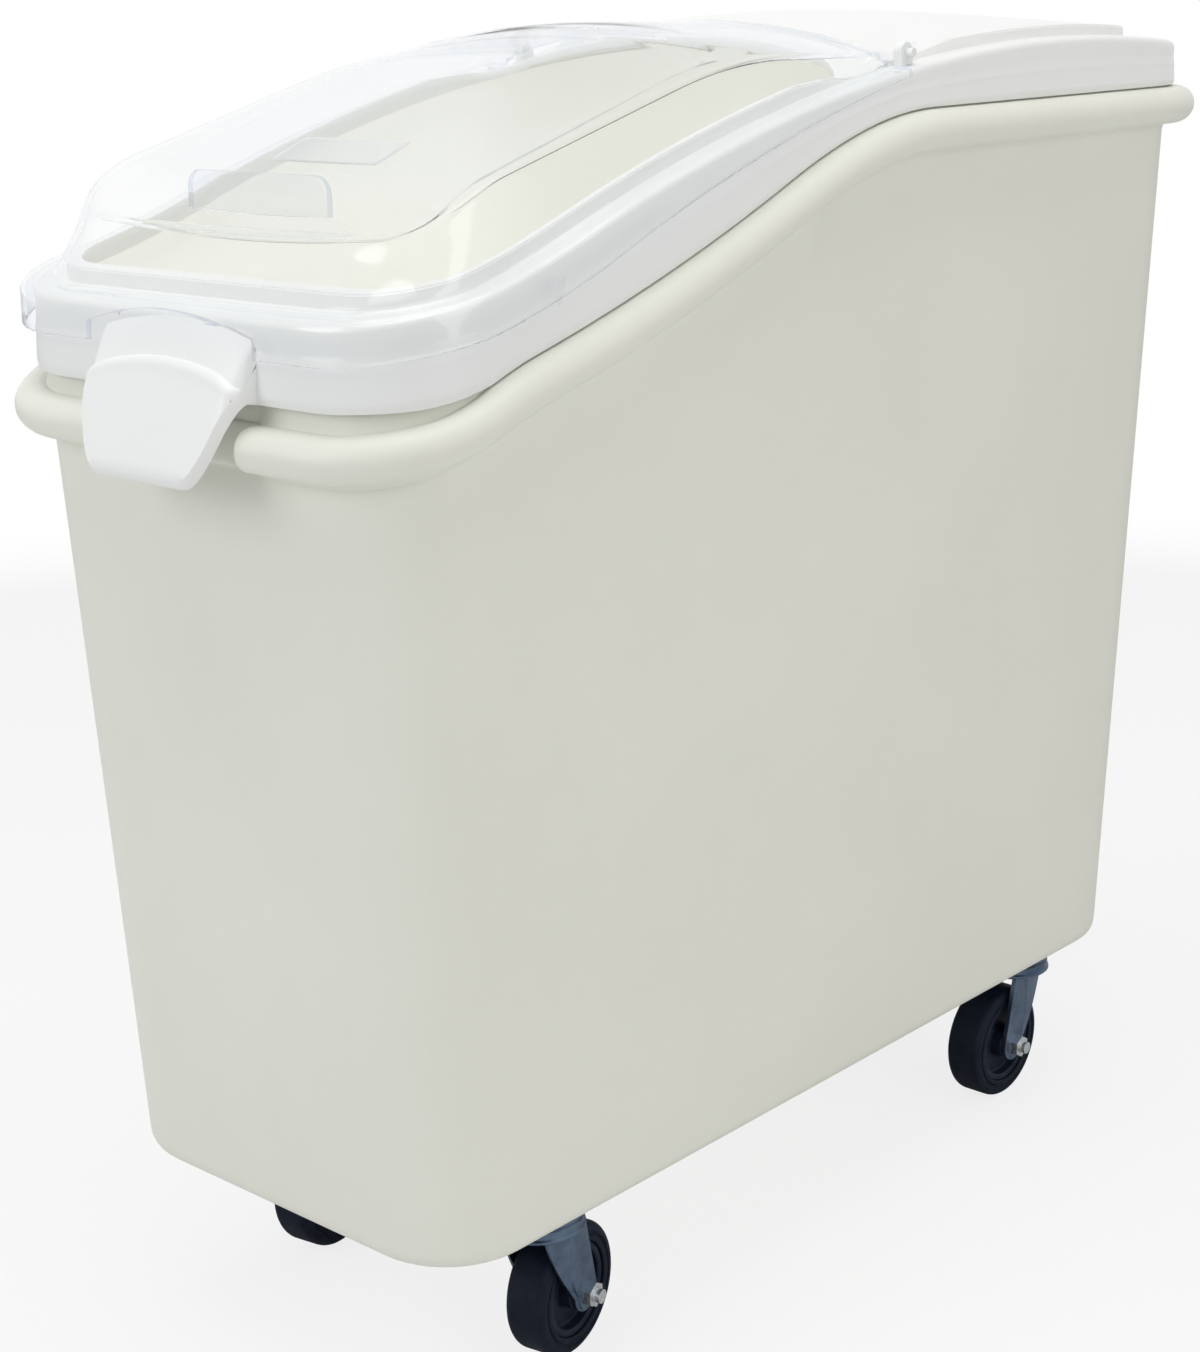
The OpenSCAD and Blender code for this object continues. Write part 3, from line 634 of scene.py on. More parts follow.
@dataclass(frozen=True)
class Moulded:
    """Satin moulded plastic with faint clouding and a fine grain, and painted glow where one is given.

    Attributes:
        slot: Material slot in the record, or the finish's own name.
        low: Darker tone of the clouding.
        high: Lighter tone of the clouding.
        rough: Roughness.
        grain: Depth of the grain in metres.
        painted_glow: Strength of painted glow, an emission that stands in for light coming through the wall from
            behind and bouncing inside, half of it at the foot.
        painted_glow_z: Heights in metres of the least and the most painted glow.
    """

    slot: str
    low: Color
    high: Color
    rough: float
    grain: float = 0.00004
    painted_glow: float = 0.0
    painted_glow_z: Flat = (0.1, 0.58)

    def material(self) -> bpy.types.Material:
        """Builds the material.

        Returns:
            The material.
        """
        s = Shader(self.slot)
        s.feed("Base Color", s.ramp(s.noise(6.0), self.low, self.high))
        s.feed("Roughness", s.spread(s.noise(40.0), self.rough - 0.05, self.rough + 0.05))
        s.set(Specular_IOR_Level=0.4, Emission_Color=(*self.high, 1.0), Emission_Strength=self.painted_glow)
        # Painted glow: emission that stands in for light through the translucent wall, halved towards the foot.
        if self.painted_glow:
            place = s.node("ShaderNodeSeparateXYZ")
            s.link(s.place, place.inputs[0])
            s.feed("Emission Strength", s.spread(place.outputs["Z"], 0.5 * self.painted_glow, self.painted_glow, *self.painted_glow_z))
        s.bump(s.noise(900.0, 2.0), self.grain, 0.35)
        return s.material


@dataclass(frozen=True)
class Clear:
    """Clear polished plastic that lets light through, faintly blue and with light scuffing.

    Attributes:
        slot: Material slot in the record, or the finish's own name.
        tint: Colour of what is seen through it.
        rough: Lowest roughness.
        scuff: Highest roughness, in scuffed places.
        edge: Colour where it is seen edge on.
    """

    slot: str
    tint: Color
    rough: float
    scuff: float
    edge: Color = (0.84, 0.87, 0.91)

    def material(self) -> bpy.types.Material:
        """Builds the material.

        Returns:
            The material.
        """
        s = Shader(self.slot)
        facing = s.node("ShaderNodeLayerWeight", Blend=0.35).outputs["Facing"]
        pale = tuple(min(1.0, c + 0.02) for c in self.tint)
        color = s.node("ShaderNodeMix", data_type="RGBA")
        s.link(s.spread(facing, -0.6, 1.0), color.inputs["Factor"])
        s.link(s.ramp(s.noise(14.0, 4.0), self.tint, pale), color.inputs["A"])
        color.inputs["B"].default_value = (*self.edge, 1.0)
        s.feed("Base Color", color.outputs["Result"])
        s.feed("Roughness", s.spread(s.noise(60.0, 5.0), self.rough, self.scuff))
        s.set(Transmission_Weight=1.0, IOR=1.012, Coat_Weight=0.7, Coat_Roughness=0.04, Coat_IOR=1.45)
        s.bump(s.noise(9.0, 2.0), 0.0006, 0.2)
        rays = s.node("ShaderNodeLightPath").outputs
        soft = s.higher(rays["Is Shadow Ray"], rays["Is Diffuse Ray"])
        s.blend(soft, s.node("ShaderNodeBsdfTransparent", Color=(*self.tint, 1.0)))
        return s.material


@dataclass(frozen=True)
class Plated:
    """Zinc plated or polished steel with faint mottling.

    Attributes:
        slot: Material slot in the record.
        low: Darker tone.
        high: Lighter tone.
        rough: Lowest roughness.
    """

    slot: str
    low: Color
    high: Color
    rough: float

    def material(self) -> bpy.types.Material:
        """Builds the material.

        Returns:
            The material.
        """
        s = Shader(self.slot)
        s.feed("Base Color", s.ramp(s.noise(70.0, 5.0), self.low, self.high))
        s.feed("Roughness", s.spread(s.noise(220.0, 4.0), self.rough, self.rough + 0.16))
        s.set(Metallic=1.0)
        s.bump(s.noise(700.0, 2.0), 0.00004, 0.3)
        return s.material


@dataclass(frozen=True)
class Rubber:
    """Matt dark rubber or wheel plastic with dust in its grain.

    Attributes:
        slot: Material slot in the record.
        low: Darker tone.
        high: Dusty tone.
        rough: Roughness.
    """

    slot: str
    low: Color
    high: Color
    rough: float

    def material(self) -> bpy.types.Material:
        """Builds the material.

        Returns:
            The material.
        """
        s = Shader(self.slot)
        s.feed("Base Color", s.ramp(s.noise(110.0, 5.0), self.low, self.high, 0.35, 0.8))
        s.feed("Roughness", s.spread(s.noise(160.0), self.rough - 0.08, self.rough + 0.08))
        s.set(Specular_IOR_Level=0.16)
        s.bump(s.noise(500.0, 3.0), 0.00012, 0.35)
        return s.material


Finish = Moulded | Clear | Plated | Rubber


class Paint:
    """The finishes of the bin, each built once."""

    FINISHES: tuple[Finish, ...] = (
        Moulded("ivory_polyethylene", (0.82, 0.82, 0.735), (0.85, 0.85, 0.765), 0.42, 0.00005),
        # The tub's inside: a lighter, less yellow copy of the ivory with painted glow, standing in for light through
        # the walls and bouncing inside.
        Moulded("ivory_inside_painted_glow", (0.83, 0.83, 0.79), (0.86, 0.86, 0.82), 0.45, 0.00005, 0.27),
        Moulded("white_plastic", (0.885, 0.89, 0.875), (0.905, 0.91, 0.895), 0.34),
        Clear("clear_plastic", (0.975, 0.98, 0.98), 0.03, 0.07),
        Clear("clear_edge", (0.70, 0.75, 0.86), 0.12, 0.2, (0.58, 0.64, 0.78)),
        Clear("clear_fin", (0.925, 0.935, 0.95), 0.03, 0.07, (0.78, 0.82, 0.90)),
        Clear("frosted_plastic", (0.945, 0.95, 0.955), 0.3, 0.4),
        Plated("zinc_plate", (0.07, 0.105, 0.165), (0.14, 0.19, 0.27), 0.28),
        Plated("zinc_fastener", (0.52, 0.54, 0.56), (0.66, 0.68, 0.69), 0.2),
        Plated("bearing_steel", (0.50, 0.50, 0.52), (0.62, 0.62, 0.64), 0.12),
        Rubber("wheel_plastic", (0.006, 0.010, 0.022), (0.015, 0.022, 0.040), 0.5),
        Rubber("wheel_rubber", (0.003, 0.006, 0.015), (0.008, 0.013, 0.028), 0.62),
    )

    def __init__(self) -> None:
        """Builds every finish."""
        self.materials = {f.slot: f.material() for f in self.FINISHES}

    def coat(self, obj: bpy.types.Object, slot: str) -> None:
        """Gives an object the finish of that name."""
        obj.data.materials.clear()
        obj.data.materials.append(self.materials[slot])

    def piece(self, obj: bpy.types.Object, slot: str, body: str, *nodes: str, finish: str | None = None) -> None:
        """Paints a new piece and ties it to its body.

        Args:
            obj: The piece.
            slot: Material slot in the record.
            body: Body that the piece rides on.
            *nodes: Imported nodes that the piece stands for.
            finish: Name of a finish other than the slot's own.
        """
        self.coat(obj, finish or slot)
        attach(obj, body)
        if nodes:
            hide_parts(*nodes)
        LOG.info("built %s", obj.name)

    def packed(self, name: str, slot: str, width: float) -> None:
        """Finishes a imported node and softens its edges.

        Args:
            name: Name of the node.
            slot: Material slot in the record.
            width: Width of the soft edges in metres, 0 for none.
        """
        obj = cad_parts[name]
        if width:
            soften(obj, width)
        self.coat(obj, slot)
        LOG.info("finished %s", name)


@dataclass
class Tub:
    """The one-piece tub with its sloping rim bead."""

    paint: Paint
    base_half_w: float = 136.0
    base_half_l: float = 329.0
    base_r: float = 52.0
    base_z: float = 101.0
    base_round: float = 12.0
    wall_t: float = 4.0
    wall_top: float = 0.992
    floor_t: float = 5.0
    fillet: float = 4.0
    neck_r: float = 52.5
    neck_fillet: float = 2.0
    neck_gap: float = 3.5
    notch_half: float = 50.0
    notch_ease: float = 3.0
    notch_keep: float = 0.12
    rows: int = 12
    # Inset and drop of the rings over the neck's upper edge
    lip: tuple[Flat, ...] = ((0.0, 1.6), (0.5, 0.5), (1.6, 0.0), (2.4, 0.0), (3.5, 0.5), (4.0, 1.6))

    def plan(self, share: float, r: float) -> list[Flat]:
        """Plan ring between the base (share 0) and the rim (share 1).

        Args:
            share: Share of the way up.
            r: Corner radius.

        Returns:
            Plan points in order.
        """
        run = mix(self.base_half_w - self.base_r, LINES.run_x, share)
        y = mix(self.base_half_l - self.base_r, LINES.run_y, share)
        return Outline(run, -y, y + r, r, r).closed()

    def base_ring(self, r: float, bend: float, z: float, turn: Flat) -> list[Point]:
        """Ring on the rounding between floor and wall, at the sine and cosine of its turn."""
        s, c = turn
        return [(x, y, z + bend * (1.0 - c)) for x, y in self.plan(0.0, r - bend * (1.0 - s))]

    def rim_ring(self, r: float, height: Callable[[float], float]) -> list[Point]:
        """Ring at the rim with corner radius r and that height over y."""
        return [(x, y, height(y)) for x, y in self.plan(1.0, r)]

    def bead_ring(self, out: float, lift: float) -> list[Point]:
        """Ring on the bead, drawn in behind the front pull.

        Args:
            out: How far it stands out from the wall line.
            lift: Height over the bead's lower edge.

        Returns:
            The ring's points.
        """
        ring = []
        inner = self.plan(1.0, LINES.corner_r)
        outer = self.plan(1.0, LINES.corner_r + LINES.bead_out)
        for (xi, yi), (xo, yo) in zip(inner, outer):
            share = out / LINES.bead_out
            if yo < -LINES.run_y - LINES.corner_r:
                share *= mix(self.notch_keep, 1.0, smooth_step((abs(xo) - self.notch_half) / self.notch_ease))
            ring.append((mix(xi, xo, share), mix(yi, yo, share), LINES.rim_z(yo) + lift))
        return ring

    def wall_ring(self, share: float, r_in: float, low_z: float) -> list[Point]:
        """Ring at a share of the way up a wall, r_in inside its outer face and from low_z at the base."""
        r = mix(self.base_r, LINES.corner_r, share) - r_in
        return [(x, y, mix(low_z, LINES.rim_z(y), share)) for x, y in self.plan(share, r)]

    def outside(self) -> list[list[Point]]:
        """Rings from the base up the wall and over bead and neck to the neck's inner edge.

        Returns:
            The rings in order.
        """
        rings = [self.base_ring(self.base_r, self.base_round, self.base_z, turn) for turn in arc_shares(7)]
        for k in range(1, self.rows + 1):
            rings.append(self.wall_ring(self.wall_top * k / self.rows, 0.0, self.base_z + self.base_round))
        rings += [self.bead_ring(self.fillet * (1.0 - c), -self.fillet * (1.0 - s)) for s, c in arc_shares(4)]
        bead_r = LINES.bead_h / 2.0
        for k in range(self.rows + 1):
            a = math.pi * (k / self.rows - 0.5)
            out = LINES.bead_out - bead_r * (1.0 - math.cos(a))
            rings.append(self.bead_ring(out, bead_r * (1.0 + math.sin(a))))
        rings.append(self.bead_ring(self.neck_r - LINES.corner_r + self.neck_fillet, LINES.bead_h))
        rings.append(self.rim_ring(self.neck_r, lambda y: LINES.rim_z(y) + LINES.bead_h + self.neck_fillet))
        for inset, drop in self.lip:
            rings.append(self.rim_ring(self.neck_r - inset, lambda y, d=drop: LINES.ledge_z(y) - self.neck_gap - d))
        return rings

    def inside(self) -> list[list[Point]]:
        """Rings from the neck down the inner wall to the floor.

        Returns:
            The rings in order.
        """
        bend = self.base_round - 2.0
        floor_z = self.base_z + self.floor_t
        rings = [self.rim_ring(self.neck_r - self.wall_t, LINES.rim_z)]
        for k in range(self.rows - 1, 0, -1):
            rings.append(self.wall_ring(k / self.rows, self.wall_t, floor_z + bend))
        for turn in reversed(arc_shares(6)):
            rings.append(self.base_ring(self.base_r - self.wall_t, bend, floor_z, turn))
        return rings

    def build(self) -> None:
        """Builds the tub, with a lighter finish inside that carries painted glow."""
        skin = Skin()
        outside = self.outside()
        skin.faces.append(skin.rows(outside, closed=True)[0])
        first_inside = len(skin.faces)
        skin.faces.append(skin.rows([outside[-1], *self.inside()], closed=True)[-1])
        obj = skin.build("tub_moulding")
        self.paint.piece(obj, "ivory_polyethylene", Body.BIN.value, "bin_tub")
        # The inside faces get the lighter ivory with painted glow.
        obj.data.materials.append(self.paint.materials["ivory_inside_painted_glow"])
        for face in obj.data.polygons[first_inside:]:
            face.material_index = 1


@dataclass
class LidFrame:
    """The white lid frame: skirt, ledge, coaming, rear roof and front pull."""

    paint: Paint
    t: float = 3.0
    ledge_r: float = 4.0
    step_in: float = 1.5
    pull_half: float = 55.0
    pull_zone: float = 26.0
    pull_drop: float = 40.0
    pull_taper: float = 16.0
    face_y: float = -390.4
    lean: float = 21.0
    flange: float = 6.0
    flange_up: float = 1.5
    edge_r: float = 5.0
    side_r: float = 6.0
    root_gap: float = 4.0
    roof_drop: float = 18.0
    roof_curve: float = 1.3
    corner_drop: float = 3.0
    corner_run: float = 18.0
    edge_rows: int = 5
    face_rows: int = 9
    # Shares of the rings from the roof's outline to the opening, and the lip's insets and drops
    shares: tuple[float, ...] = (
        0.0, 0.004, 0.01, 0.02, *(0.04 * k for k in range(1, 23)),
        0.905, 0.929, 0.9318, 0.9342, 0.95, 0.975, 0.99,
    )
    lip: tuple[Flat, ...] = ((0.2, 0.3), (0.0, 1.0), (0.0, 4.2), (0.4, 5.0), (2.4, 5.0))

    def low_z(self, x: float) -> float:
        """Lower edge of the pull at x."""
        bow = smooth_min((self.pull_half - abs(x)) / self.pull_taper, 1.0, 0.5)
        return LINES.skirt_z(-LINES.run_y - LINES.corner_r) - self.pull_drop * bow

    def root_z(self, x: float) -> float:
        """Height where the pull's hood leaves the skirt."""
        return LINES.arch_z(x) - self.root_gap

    def brow_z(self, x: float) -> float:
        """Height of the pull's upper front edge at x."""
        corner = clamp(1.0 - (self.pull_half - abs(x)) / self.corner_run)
        return self.root_z(x) - self.roof_drop - self.corner_drop * corner**2

    def bend(self, x: float) -> float:
        """How far the pull's face turns back at its sides."""
        t = clamp(1.0 - (self.pull_half - abs(x)) / self.side_r)
        return self.side_r * (1.0 - math.sqrt(max(0.0, 1.0 - t * t)))

    def plane_y(self, x: float, z: float) -> float:
        """Y of the pull's leaning face at x and height z."""
        low, high = self.low_z(0.0), self.brow_z(0.0)
        return self.face_y + self.lean * clamp((z - low) / (high - low)) + self.bend(x)

    def face(self, x: float, share: float) -> Flat:
        """Y and Z on the pull's face, at a share of its height."""
        z = mix(self.low_z(x) + self.edge_r, self.brow_z(x) - self.edge_r, share)
        return self.plane_y(x, z), z

    def section(self, x: float) -> list[Flat]:
        """Section of the pull at x, from its lip over lower edge, face and brow to the hood's root.

        Args:
            x: Place across the pull.

        Returns:
            Y and Z of a point for each of the skirt's rows.
        """
        low, brow, r = self.low_z(x), self.brow_z(x), self.edge_r
        foot, head = self.face(x, 0.0)[0], self.face(x, 1.0)[0]
        arcs = arc_shares(self.edge_rows)
        points = [(self.plane_y(x, low) + self.flange, low + self.flange_up)]
        points += [(foot + r * (1.0 - s), low + r * (1.0 - c)) for s, c in arcs]
        points += [self.face(x, k / self.face_rows) for k in range(1, self.face_rows)]
        points += [(head + r * (1.0 - c), brow - r * (1.0 - s)) for s, c in arcs]
        for k in range(1, self.edge_rows + 1):
            share = k / self.edge_rows
            fall = (1.0 - share) ** self.roof_curve
            points.append((mix(head + r, LINES.front_y, share), mix(self.root_z(x), brow, fall)))
        return points

    def skirt_rows(self) -> list[Flat]:
        """Corner radius and share of height of the skirt's rows that run over the pull.

        Returns:
            A pair for each row, from the lower edge up.
        """
        r = LINES.skirt_r + 1.0
        edge = [k / self.edge_rows for k in range(self.edge_rows + 1)]
        face = [k / self.face_rows for k in range(1, self.face_rows)]
        rows = [(r - 1.4, 0.0)]
        rows += [(mix(r - 0.9, r, share), mix(0.002, 0.082, share)) for share in edge]
        rows += [(mix(r, r - 0.5, share), mix(0.1, 0.38, share)) for share in face]
        rows += [(r - 0.5, mix(0.4, 0.46, share)) for share in edge]
        rows += [(mix(r - 0.5, r - 1.0, share), mix(0.46, 0.6, share)) for share in edge[1:]]
        return rows

    def lining(self, x: float) -> list[Flat]:
        """Y and Z inside the pull at x: behind the hood, the brow, the face's foot and the lip.

        Args:
            x: Place across the pull.

        Returns:
            The four points in order.
        """
        low, brow = self.low_z(x), self.brow_z(x)
        foot = self.plane_y(x, low)
        return [
            (LINES.front_y + self.t, self.root_z(x) - self.t),
            (self.plane_y(x, brow) + self.t, brow - self.edge_r),
            (foot + self.t, low + self.edge_r),
            (foot + self.flange, low + self.flange_up + self.t),
        ]

    def ring(
        self, r: float, share: float, pull: Callable[[float], Flat] | None = None, sink: float = 0.0
    ) -> list[Point]:
        """Ring on the skirt; inside the pull's width its front points move to the pull.

        Args:
            r: Corner radius of the ring.
            share: Share of the skirt's height.
            pull: Y and Z on the pull over x, if the ring runs over it.
            sink: How far the ring lies lower.

        Returns:
            The ring's points.
        """
        points = []
        for x, y in Outline(LINES.run_x, -LINES.run_y, LINES.run_y + r, r, r).closed():
            if pull and y < -LINES.run_y - self.pull_zone and abs(x) <= self.pull_half:
                points.append((x, *pull(x)))
            else:
                points.append((x, y, mix(LINES.skirt_z(y), LINES.ledge_z(y), share) - sink))
        return points

    def top_ring(self, share: float, r: float, drop: float, ledge: bool = False) -> list[Point]:
        """Ring between the roof's outline (share 0) and the opening (share 1).

        Args:
            share: Share of the way to the opening.
            r: Corner radius of the ring.
            drop: How far it lies under the top.
            ledge: Whether it lies on the ledge.

        Returns:
            The ring's points.
        """
        base_r = mix(LINES.coaming_r, LINES.mouth_r, share)
        rear = mix(LINES.roof_rear_y, LINES.mouth_rear_y, share) + r - base_r
        outline = Outline(LINES.run_x, mix(4.0, 8.0, share) - LINES.run_y, rear, r, r)
        height = (lambda x, y: LINES.ledge_z(y)) if ledge else LINES.frame_top_z
        return [(x, y, height(x, y) - drop) for x, y in outline.closed()]

    def outer(self) -> list[list[Point]]:
        """Rings from the lower edge over skirt and pull to the ledge.

        Returns:
            The rings in order.
        """
        rings = []
        for k, (r, share) in enumerate(self.skirt_rows()):
            rings.append(self.ring(r, share, lambda x, k=k: self.section(x)[k]))
        rings += [self.ring(LINES.skirt_r, share) for share in (0.66, 0.74)]
        for s, c in arc_shares(6):
            rings.append(self.ring(LINES.skirt_r - self.ledge_r * (1.0 - c), 1.0, sink=self.ledge_r * (1.0 - s)))
        return rings

    def top(self) -> list[list[Point]]:
        """Rings over the coaming and the roof to the lip in the opening.

        Returns:
            The rings in order.
        """
        lead = LINES.coaming_r + self.step_in
        rings = [self.top_ring(0.0, lead + 1.0, 0.0, ledge=True)]
        rings += [self.top_ring(0.0, lead - 0.4, -0.6, ledge=True), self.top_ring(0.0, lead - 0.9, 1.0)]
        for share in self.shares:
            drop = 0.0 if share else 0.35
            rings.append(self.top_ring(share, mix(LINES.coaming_r, LINES.mouth_r + 0.3, share), drop))
        return rings + [self.top_ring(1.0, LINES.mouth_r + inset, drop) for inset, drop in self.lip]

    def under(self) -> list[list[Point]]:
        """Rings back under the top, the ledge and inside the skirt and the pull.

        Returns:
            The rings in order.
        """
        rings = []
        for k in range(24, -1, -1):
            s = k / 25
            rings.append(self.top_ring(s, mix(LINES.coaming_r - self.t, LINES.mouth_r, s), self.t))
        rings.append(self.top_ring(0.0, LINES.coaming_r + self.step_in - self.t, self.t, ledge=True))
        r = LINES.skirt_r - self.t
        rings.append(self.ring(r, 1.0, sink=self.t))
        rows = ((0.0, 0.6, 1.5), (0.0, 0.4, 0.0), (0.8, 0.1, 0.0), (1.0, 0.0, 0.0))
        for k, (grow, share, sink) in enumerate(rows):
            rings.append(self.ring(r + grow, share, lambda x, k=k: self.lining(x)[k], sink))
        return rings

    def build(self) -> None:
        """Builds the frame and paints its pivot blocks."""
        skin = Skin()
        skin.rows(self.outer() + self.top() + self.under(), closed=True, looped=True)
        self.paint.piece(skin.build("frame_moulding", 32.0), "white_plastic", Body.FRAME.value, "lid_frame")
        for side in ("left", "right"):
            self.paint.packed(f"lid_pivot_{side}", "white_plastic", 0.0006)


@dataclass
class ClearLid:
    """The clear dome lid with its fin, ears, blank label field and side lugs."""

    paint: Paint
    lean: float = 7.0
    front_lean: float = 15.0
    draft: float = 0.3
    shoulder_r: float = 4.0
    foot_r: float = 2.0
    crest_round: float = 9.0
    crest_lead: float = 2.5
    crest_share: float = 0.8
    sag: float = 0.4
    hollow: float = 1.1
    hollow_half: float = 121.0
    hollow_rear_y: float = -92.0
    fin_half: float = 51.5
    fin_h: float = 20.0
    fin_r: float = 9.0
    fin_sink: float = 1.2
    label_y: float = -249.0
    label_half: Flat = (39.0, 12.5)
    label_t: float = 0.0003
    lug_y: float = -262.0
    lug_size: Flat = (9.0, 13.0)
    lug_plan: tuple[Flat, ...] = (
        (-0.5, 0.06), (-0.42, 0.0), (0.42, 0.0), (0.5, 0.06), (0.08, 0.97), (0.0, 1.0), (-0.08, 0.97),
    )
    insets: tuple[float, ...] = (2.0, 4.0, 6.0, 8.0, 10.0, 12.5, 15.0, 18.0)
    side_steps: int = 84
    panel_rows: int = 24

    def row(self, r: float, front_in: float, height: Callable[[float, float], float]) -> list[Point]:
        """Open ring of the lid with corner radius r, its front back by front_in, from the rear left round."""
        outline = Outline(LINES.run_x, front_in - LINES.run_y, LINES.lid_rear_y, r, r, self.side_steps)
        return [(x, y, height(x, y)) for x, y in outline.horseshoe()]

    def panel_z(self, x: float, y: float) -> float:
        """Top of the panel, with its shallow hollow ahead of the rear crease."""
        inside = smooth_step((self.hollow_half - abs(x)) / 5.0) * smooth_step((self.hollow_rear_y - y) / 6.0)
        return LINES.dome_z(x, y) - self.sag - self.hollow * inside

    def reach(self, y: float) -> float:
        """Height of the rounding under the crest at y."""
        return min(self.crest_round, (LINES.crest_z(y) - LINES.shoulder_z(y)) / 2.5)

    def skirt(self) -> list[list[Point]]:
        """Rings from the lower edge over the shoulder to the foot of the wall.

        Returns:
            The rings in order.
        """
        high = LINES.shoulder_z
        rings = []
        for share in (0.0, 0.35, 0.7, 1.0):
            rings.append(self.row(LINES.lid_r - self.draft * share, 0.0, lambda x, y, s=share: mix(
                LINES.lid_low_z(x, y), high(y) - self.shoulder_r, s)))
        for s, c in arc_shares(5)[1:]:
            r = LINES.lid_r - self.draft - self.shoulder_r * (1.0 - c)
            rings.append(self.row(r, 0.0, lambda x, y, s=s: high(y) - self.shoulder_r * (1.0 - s)))
        for s, c in arc_shares(4):
            r = LINES.dome_r + self.foot_r * (1.0 - s)
            rings.append(self.row(r, 0.0, lambda x, y, c=c: high(y) + self.foot_r * (1.0 - c)))
        return rings

    def wall(self, crest_r: float) -> list[list[Point]]:
        """Rings from the foot of the wall to the crest.

        Args:
            crest_r: Corner radius of the crest.

        Returns:
            The rings in order.
        """
        rings = []
        for share in (k / 7 for k in range(1, 8)):
            r = mix(LINES.dome_r, crest_r + self.crest_lead, share)
            rings.append(self.row(r, self.front_lean * self.crest_share * share, lambda x, y, s=share: mix(
                LINES.shoulder_z(y) + self.foot_r, LINES.crest_z(y) - self.reach(y), s)))
        for s, c in arc_shares(5)[1:]:
            back = self.front_lean * mix(self.crest_share, 1.0, s)
            rings.append(self.row(crest_r + self.crest_lead * c, back, lambda x, y, s=s: (
                LINES.crest_z(y) - self.reach(y) * (1.0 - s))))
        return rings

    def panel(self, crest_r: float) -> list[list[Point]]:
        """Rings from the crest to the panel's middle line.

        Args:
            crest_r: Corner radius of the crest.

        Returns:
            The rings in order.
        """
        rings = []
        for inset in self.insets:
            ease = smooth_step(inset / 12.0)
            rings.append(self.row(crest_r - inset, self.front_lean, lambda x, y, e=ease: mix(
                LINES.crest_z(y), self.panel_z(x, y), e)))
        r = crest_r - self.insets[-1]
        for share in (k / self.panel_rows for k in range(1, self.panel_rows + 1)):
            front = mix(self.front_lean - LINES.run_y, -LINES.run_y / 2.0, share)
            left = 1.0 - share
            outline = Outline(LINES.run_x * left, front, LINES.lid_rear_y, r * left, 1.0, self.side_steps)
            rings.append([(x, y, self.panel_z(x, y)) for x, y in outline.horseshoe()])
        return rings

    def dome(self) -> None:
        """Builds the dome as a shell of even thickness."""
        skin = Skin()
        crest_r = LINES.dome_r - self.lean
        skin.rows(self.skirt() + self.wall(crest_r) + self.panel(crest_r), closed=False)
        obj = skin.build("lid_dome", 60.0)
        thicken(obj, LINES.lid_t * MM, rim=1)
        self.paint.piece(obj, "clear_plastic", Body.LID.value, "clear_lid")
        obj.data.materials.append(self.paint.materials["clear_edge"])

    def fin(self) -> None:
        """Builds the upright finger fin, with darker edges than faces."""
        half, r = self.fin_half - self.fin_r, self.fin_r
        top = LINES.dome_z(0.0, LINES.fin_y) + self.fin_h - r
        foot = [mix(-self.fin_half, self.fin_half, k / 12) for k in range(13)]
        outline = [(x, LINES.dome_z(x, LINES.fin_y + 1.5) - self.fin_sink) for x in foot]
        outline += [(half + r * c, top + r * s) for s, c in arc_shares(8)]
        outline += [(-half - r * c, top + r * s) for s, c in reversed(arc_shares(8))]
        middle = sum(z for _, z in outline) / len(outline)
        rings = []
        for y, grow in ((-1.5, 0.985), (-1.1, 1.0), (1.1, 1.0), (1.5, 0.985)):
            rings.append([(
                x * grow,
                LINES.fin_y + y * mix(1.0, 0.8, clamp((z - middle) / 14.0)),
                mix(middle, z, grow) if z > middle else z,
            ) for x, z in outline])
        skin = Skin()
        skin.solid(rings)
        obj = skin.build("lid_fin")
        self.paint.piece(obj, "clear_plastic", Body.LID.value, "finger_fin", finish="clear_fin")
        obj.data.materials.append(self.paint.materials["clear_edge"])
        for face in obj.data.polygons[:-2]:
            face.material_index = 1

    def label(self) -> None:
        """Builds the blank frosted label field on the panel."""
        rings = []
        wide, deep = self.label_half
        for v in (mix(-1.0, 1.0, k / 12) for k in range(13)):
            half = wide * (1.0 - 0.035 * max(0.0, abs(v) - 0.75) / 0.25)
            y = self.label_y + deep * v
            rings.append([(x, y, self.panel_z(x, y) + 0.5) for x in (mix(-half, half, k / 24) for k in range(25))])
        skin = Skin()
        skin.rows(rings, closed=False)
        obj = skin.build("label_field")
        thicken(obj, self.label_t)
        self.paint.piece(obj, "clear_plastic", Body.LID.value, finish="frosted_plastic")

    def lug(self, side: int) -> None:
        """Builds the small wedge lug on the skirt of one side.

        Args:
            side: -1 for the left, 1 for the right.
        """
        wide, tall = self.lug_size
        high = LINES.lid_low_z(0.0, self.lug_y) + 0.8 * tall
        rings = []
        for out, grow in ((-0.4, 1.0), (0.9, 0.92), (1.4, 0.72)):
            x = side * (LINES.run_x + LINES.lid_r + out)
            rings.append([(x, self.lug_y + wide * grow * u, high - tall * grow * v) for u, v in self.lug_plan])
        skin = Skin()
        skin.solid(rings)
        obj = skin.build(f"lid_lug_{'right' if side > 0 else 'left'}")
        self.paint.piece(obj, "clear_plastic", Body.LID.value, finish="clear_fin")

    def build(self) -> None:
        """Builds the lid's pieces."""
        self.dome()
        self.fin()
        self.label()
        for side in (-1, 1):
            self.lug(side)
        for name in ("left", "right"):
            self.paint.packed(f"lid_ear_{name}", "clear_plastic", 0.0005)


